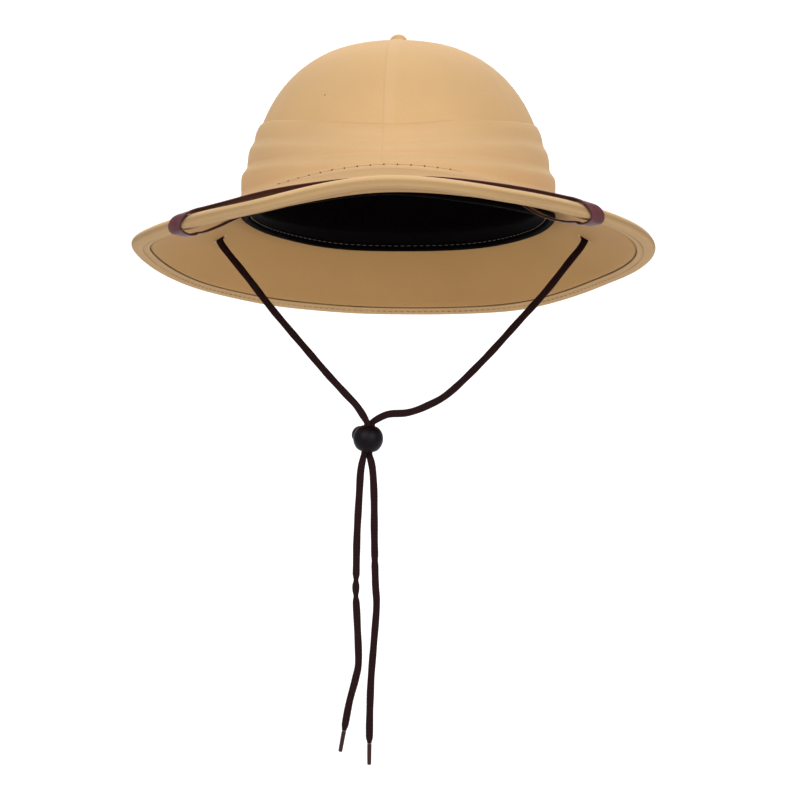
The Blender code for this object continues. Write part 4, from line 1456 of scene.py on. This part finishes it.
def stitches(name, starts, ends, normals, radius, surface, bow=1.0):
    """A row of sewn stitches: each a thread that rises from one hole and dips to the next."""
    sides, rings = thread_sides, thread_rings
    starts, ends, normals = (np.asarray(v, float) for v in (starts, ends, normals))
    run = unit(ends - starts)
    side = unit(np.cross(run, normals))
    up = np.cross(side, run)
    share = np.linspace(0.0, 1.0, rings)
    arch = np.sin(math.pi * share)
    angle = np.arange(sides) * 2 * math.pi / sides
    points, faces = [], []
    width = radius * (1.0 - bow * 0.65 * (1.0 - arch ** 0.5))
    for r in range(rings):
        centre = starts + (ends - starts) * share[r] + up * radius * (bow * arch[r] * 1.1 - 0.5)
        for k in range(sides):
            points.append(centre + width[r] * (side * math.cos(angle[k])
                                               + up * math.sin(angle[k])))
    cloud = np.stack(points, 1).reshape(-1, 3)
    per = rings * sides
    one = []
    for r in range(rings - 1):
        for k in range(sides):
            after = (k + 1) % sides
            one.append((r * sides + k, r * sides + after,
                        (r + 1) * sides + after, (r + 1) * sides + k))
    caps = [tuple(range(sides))[::-1], tuple(range(per - sides, per))]
    for i in range(len(starts)):
        base = i * per
        faces += [tuple(base + v for v in face) for face in one + caps]
    mesh = new_mesh(name, cloud.tolist(), faces)
    mesh.shade_smooth()
    return dress(new_object(name, mesh), surface)


def spaced_azimuths(line, pitch, low=0.0, high=360.0):
    """Azimuths a pitch apart along a line that is given as points by azimuth."""
    fine = np.linspace(low, high, 1441)
    length = measure(line(fine)[None])[0]
    count = int(round(length[-1] / pitch))
    return np.interp(np.arange(count + 1) * length[-1] / count, length, fine)


def make_arch_stitches(surface, hole_shade_dots):
    """The stitch line on the band's foot across the front, with dark dots of painted shade for
    its needle holes.
    """
    def line(azimuth):
        face, _, _, _, _ = band_face(azimuth)
        heights = np.interp(azimuth, *zip(*ARCH_LINE))
        rho = [np.interp(z, row[::-1, 1], row[::-1, 0]) for z, row in zip(heights, face)]
        return plan(azimuth, np.array(rho) + arch_thread_lift, heights)
    azimuth = spaced_azimuths(line, arch_stitch_pitch, ARCH_LINE[0][0], ARCH_LINE[-1][0])
    here = line(azimuth)
    outward = level_outward(here)
    fine = line(np.interp(np.arange(4 * (len(azimuth) - 1) + 1) / 4,
                          np.arange(len(azimuth)), azimuth))
    middle = level_outward(fine[:-1] + fine[1:])
    stitches("arch_thread", fine[:-1], fine[1:], middle, arch_thread_radius, surface,
             bow=0.3)
    side = np.stack([outward[:, 1], -outward[:, 0], np.zeros(len(here))], -1)
    half = side * arch_hole_radius
    # Dark dots of painted shade stand for the needle holes.
    holes = azimuth < last_hole
    stitches("arch_hole_shade", (here - half)[holes], (here + half)[holes], outward[holes],
             arch_hole_radius, hole_shade_dots)


def make_border_stitches(surface):
    """The row of stitches along the middle of the border under the brim."""
    def line(azimuth):
        share = border_share(azimuth)
        front = np.exp(-(((azimuth + 180.0) % 360.0 - 180.0) / front_spread) ** 6)
        s = 1.0 + (share - 1.0) * border_stitch_share
        depth = rim_thickness - border_thread_sink - front_thread_sink * front
        here = brim_under(azimuth, s, depth[:, None])
        return plan(azimuth, here[..., 0], here[..., 1])
    pitch = border_stitch_length + border_stitch_gap
    azimuth = spaced_azimuths(line, pitch)[:-1]
    here = line(azimuth)
    after = np.roll(here, -1, 0)
    end = here + (after - here) * border_stitch_length / pitch
    down = np.broadcast_to([0.0, 0.0, -1.0], here.shape)
    stitches("border_thread", here, end, down, border_thread_radius, surface)


def make_sweatband_stitches(surface):
    """The stitch row on the sweatband, just above its rolled edge."""
    def line(azimuth):
        _, _, roll, slant, side = sweatband_line(azimuth)
        here = roll - side * sweatband_roll - slant * stitch_row_rise
        here = here + np.array([-thread_lift, 0.0])
        return plan(azimuth, here[..., 0], here[..., 1])
    azimuth = spaced_azimuths(line, sweatband_stitch_pitch)[:-1]
    here = line(azimuth)
    after = np.roll(here, -1, 0)
    end = here + (after - here) * sweatband_stitch_share
    inward = -level_outward(here)
    inward[:, 2] = -thread_tilt
    stitches("sweatband_thread", here, end, inward, sweatband_thread_radius, surface)


def slit_tools():
    """Cutters for the two slits under the brim."""
    tools = []
    for side in (-1, 1):
        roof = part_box("chin_cord_" + side_name(side))[1].z + gap
        half = slit_length / 2
        reach = cord_diameter / 2 + slit_slack * slack_share
        floor = roof - slit_cut_depth
        tools.append(box_cutter("slit_cut", (slit_x * side - half, slit_y - reach, floor),
                                (slit_x * side + half, slit_y + reach, roof)))
    return tools


def main():
    """Builds the whole scene."""
    make_camera()
    lace = lace_material("dark_lace", (0.0165, 0.0055, 0.0060))
    khaki = cloth_material("khaki_cloth", (0.71, 0.452, 0.217), fleck=fleck_place)
    half = slit_length / 2 + tack_offset
    tacks = [(slit_x * side + end * half, slit_y, 0.0) for side in (-1, 1) for end in (-1, 1)]
    lining = cloth_material("tan_lining", (0.59, 0.332, 0.125), 0.0004, 0.00003, 0.03,
                            tacks=tacks)
    vinyl = vinyl_material("black_vinyl", (0.0020, 0.0014, 0.0016))
    leather = leather_material("brown_leather", (0.148, 0.048, 0.056), (0.045, 0.011, 0.010))
    plastic = plastic_material("black_plastic", (0.0048, 0.0028, 0.0050), 0.42, 0.00002)
    sleeve = plastic_material("brown_plastic", (0.045, 0.020, 0.017), 0.35, 0.00001)
    brown_thread = thread_material("brown_thread", (0.26, 0.14, 0.065))
    # Dark dots of painted shade for the needle holes.
    hole_shade = thread_material("needle_hole_shade", (0.12, 0.05, 0.02))
    tan_thread = thread_material("tan_thread", (0.36, 0.21, 0.10))
    grey_thread = thread_material("grey_thread", (0.12, 0.09, 0.08))

    laces = (
        ("lace_left", -1, LEFT_DROP, LEFT_TAIL, LEFT_TURNS, LEFT_PINCHES),
        ("lace_right", 1, RIGHT_DROP, RIGHT_TAIL, RIGHT_TURNS, RIGHT_PINCHES),
    )
    for name, side, drop, tail, turns, pinches in laces:
        piece, path = make_lace(name, side, drop, tail, turns, pinches, lace)
        word = side_name(side)
        aglet = make_aglet("lace_tip_" + word, path, "aglet_" + word, sleeve)
    ball = make_lock(plastic)
    push = make_plunger(plastic)

    make_studio()
    make_crown(khaki)
    make_button(khaki)
    make_band(khaki)
    brim = make_brim(khaki)
    under = make_lining(lining)
    make_sweatband(vinyl)
    make_strap(leather)
    make_arch_stitches(brown_thread, hole_shade)
    make_border_stitches(tan_thread)
    make_sweatband_stitches(grey_thread)
    for piece in (brim, under):
        cut(piece, slit_tools())
        piece.data.set_sharp_from_angle(angle=sharp_angle)


main()
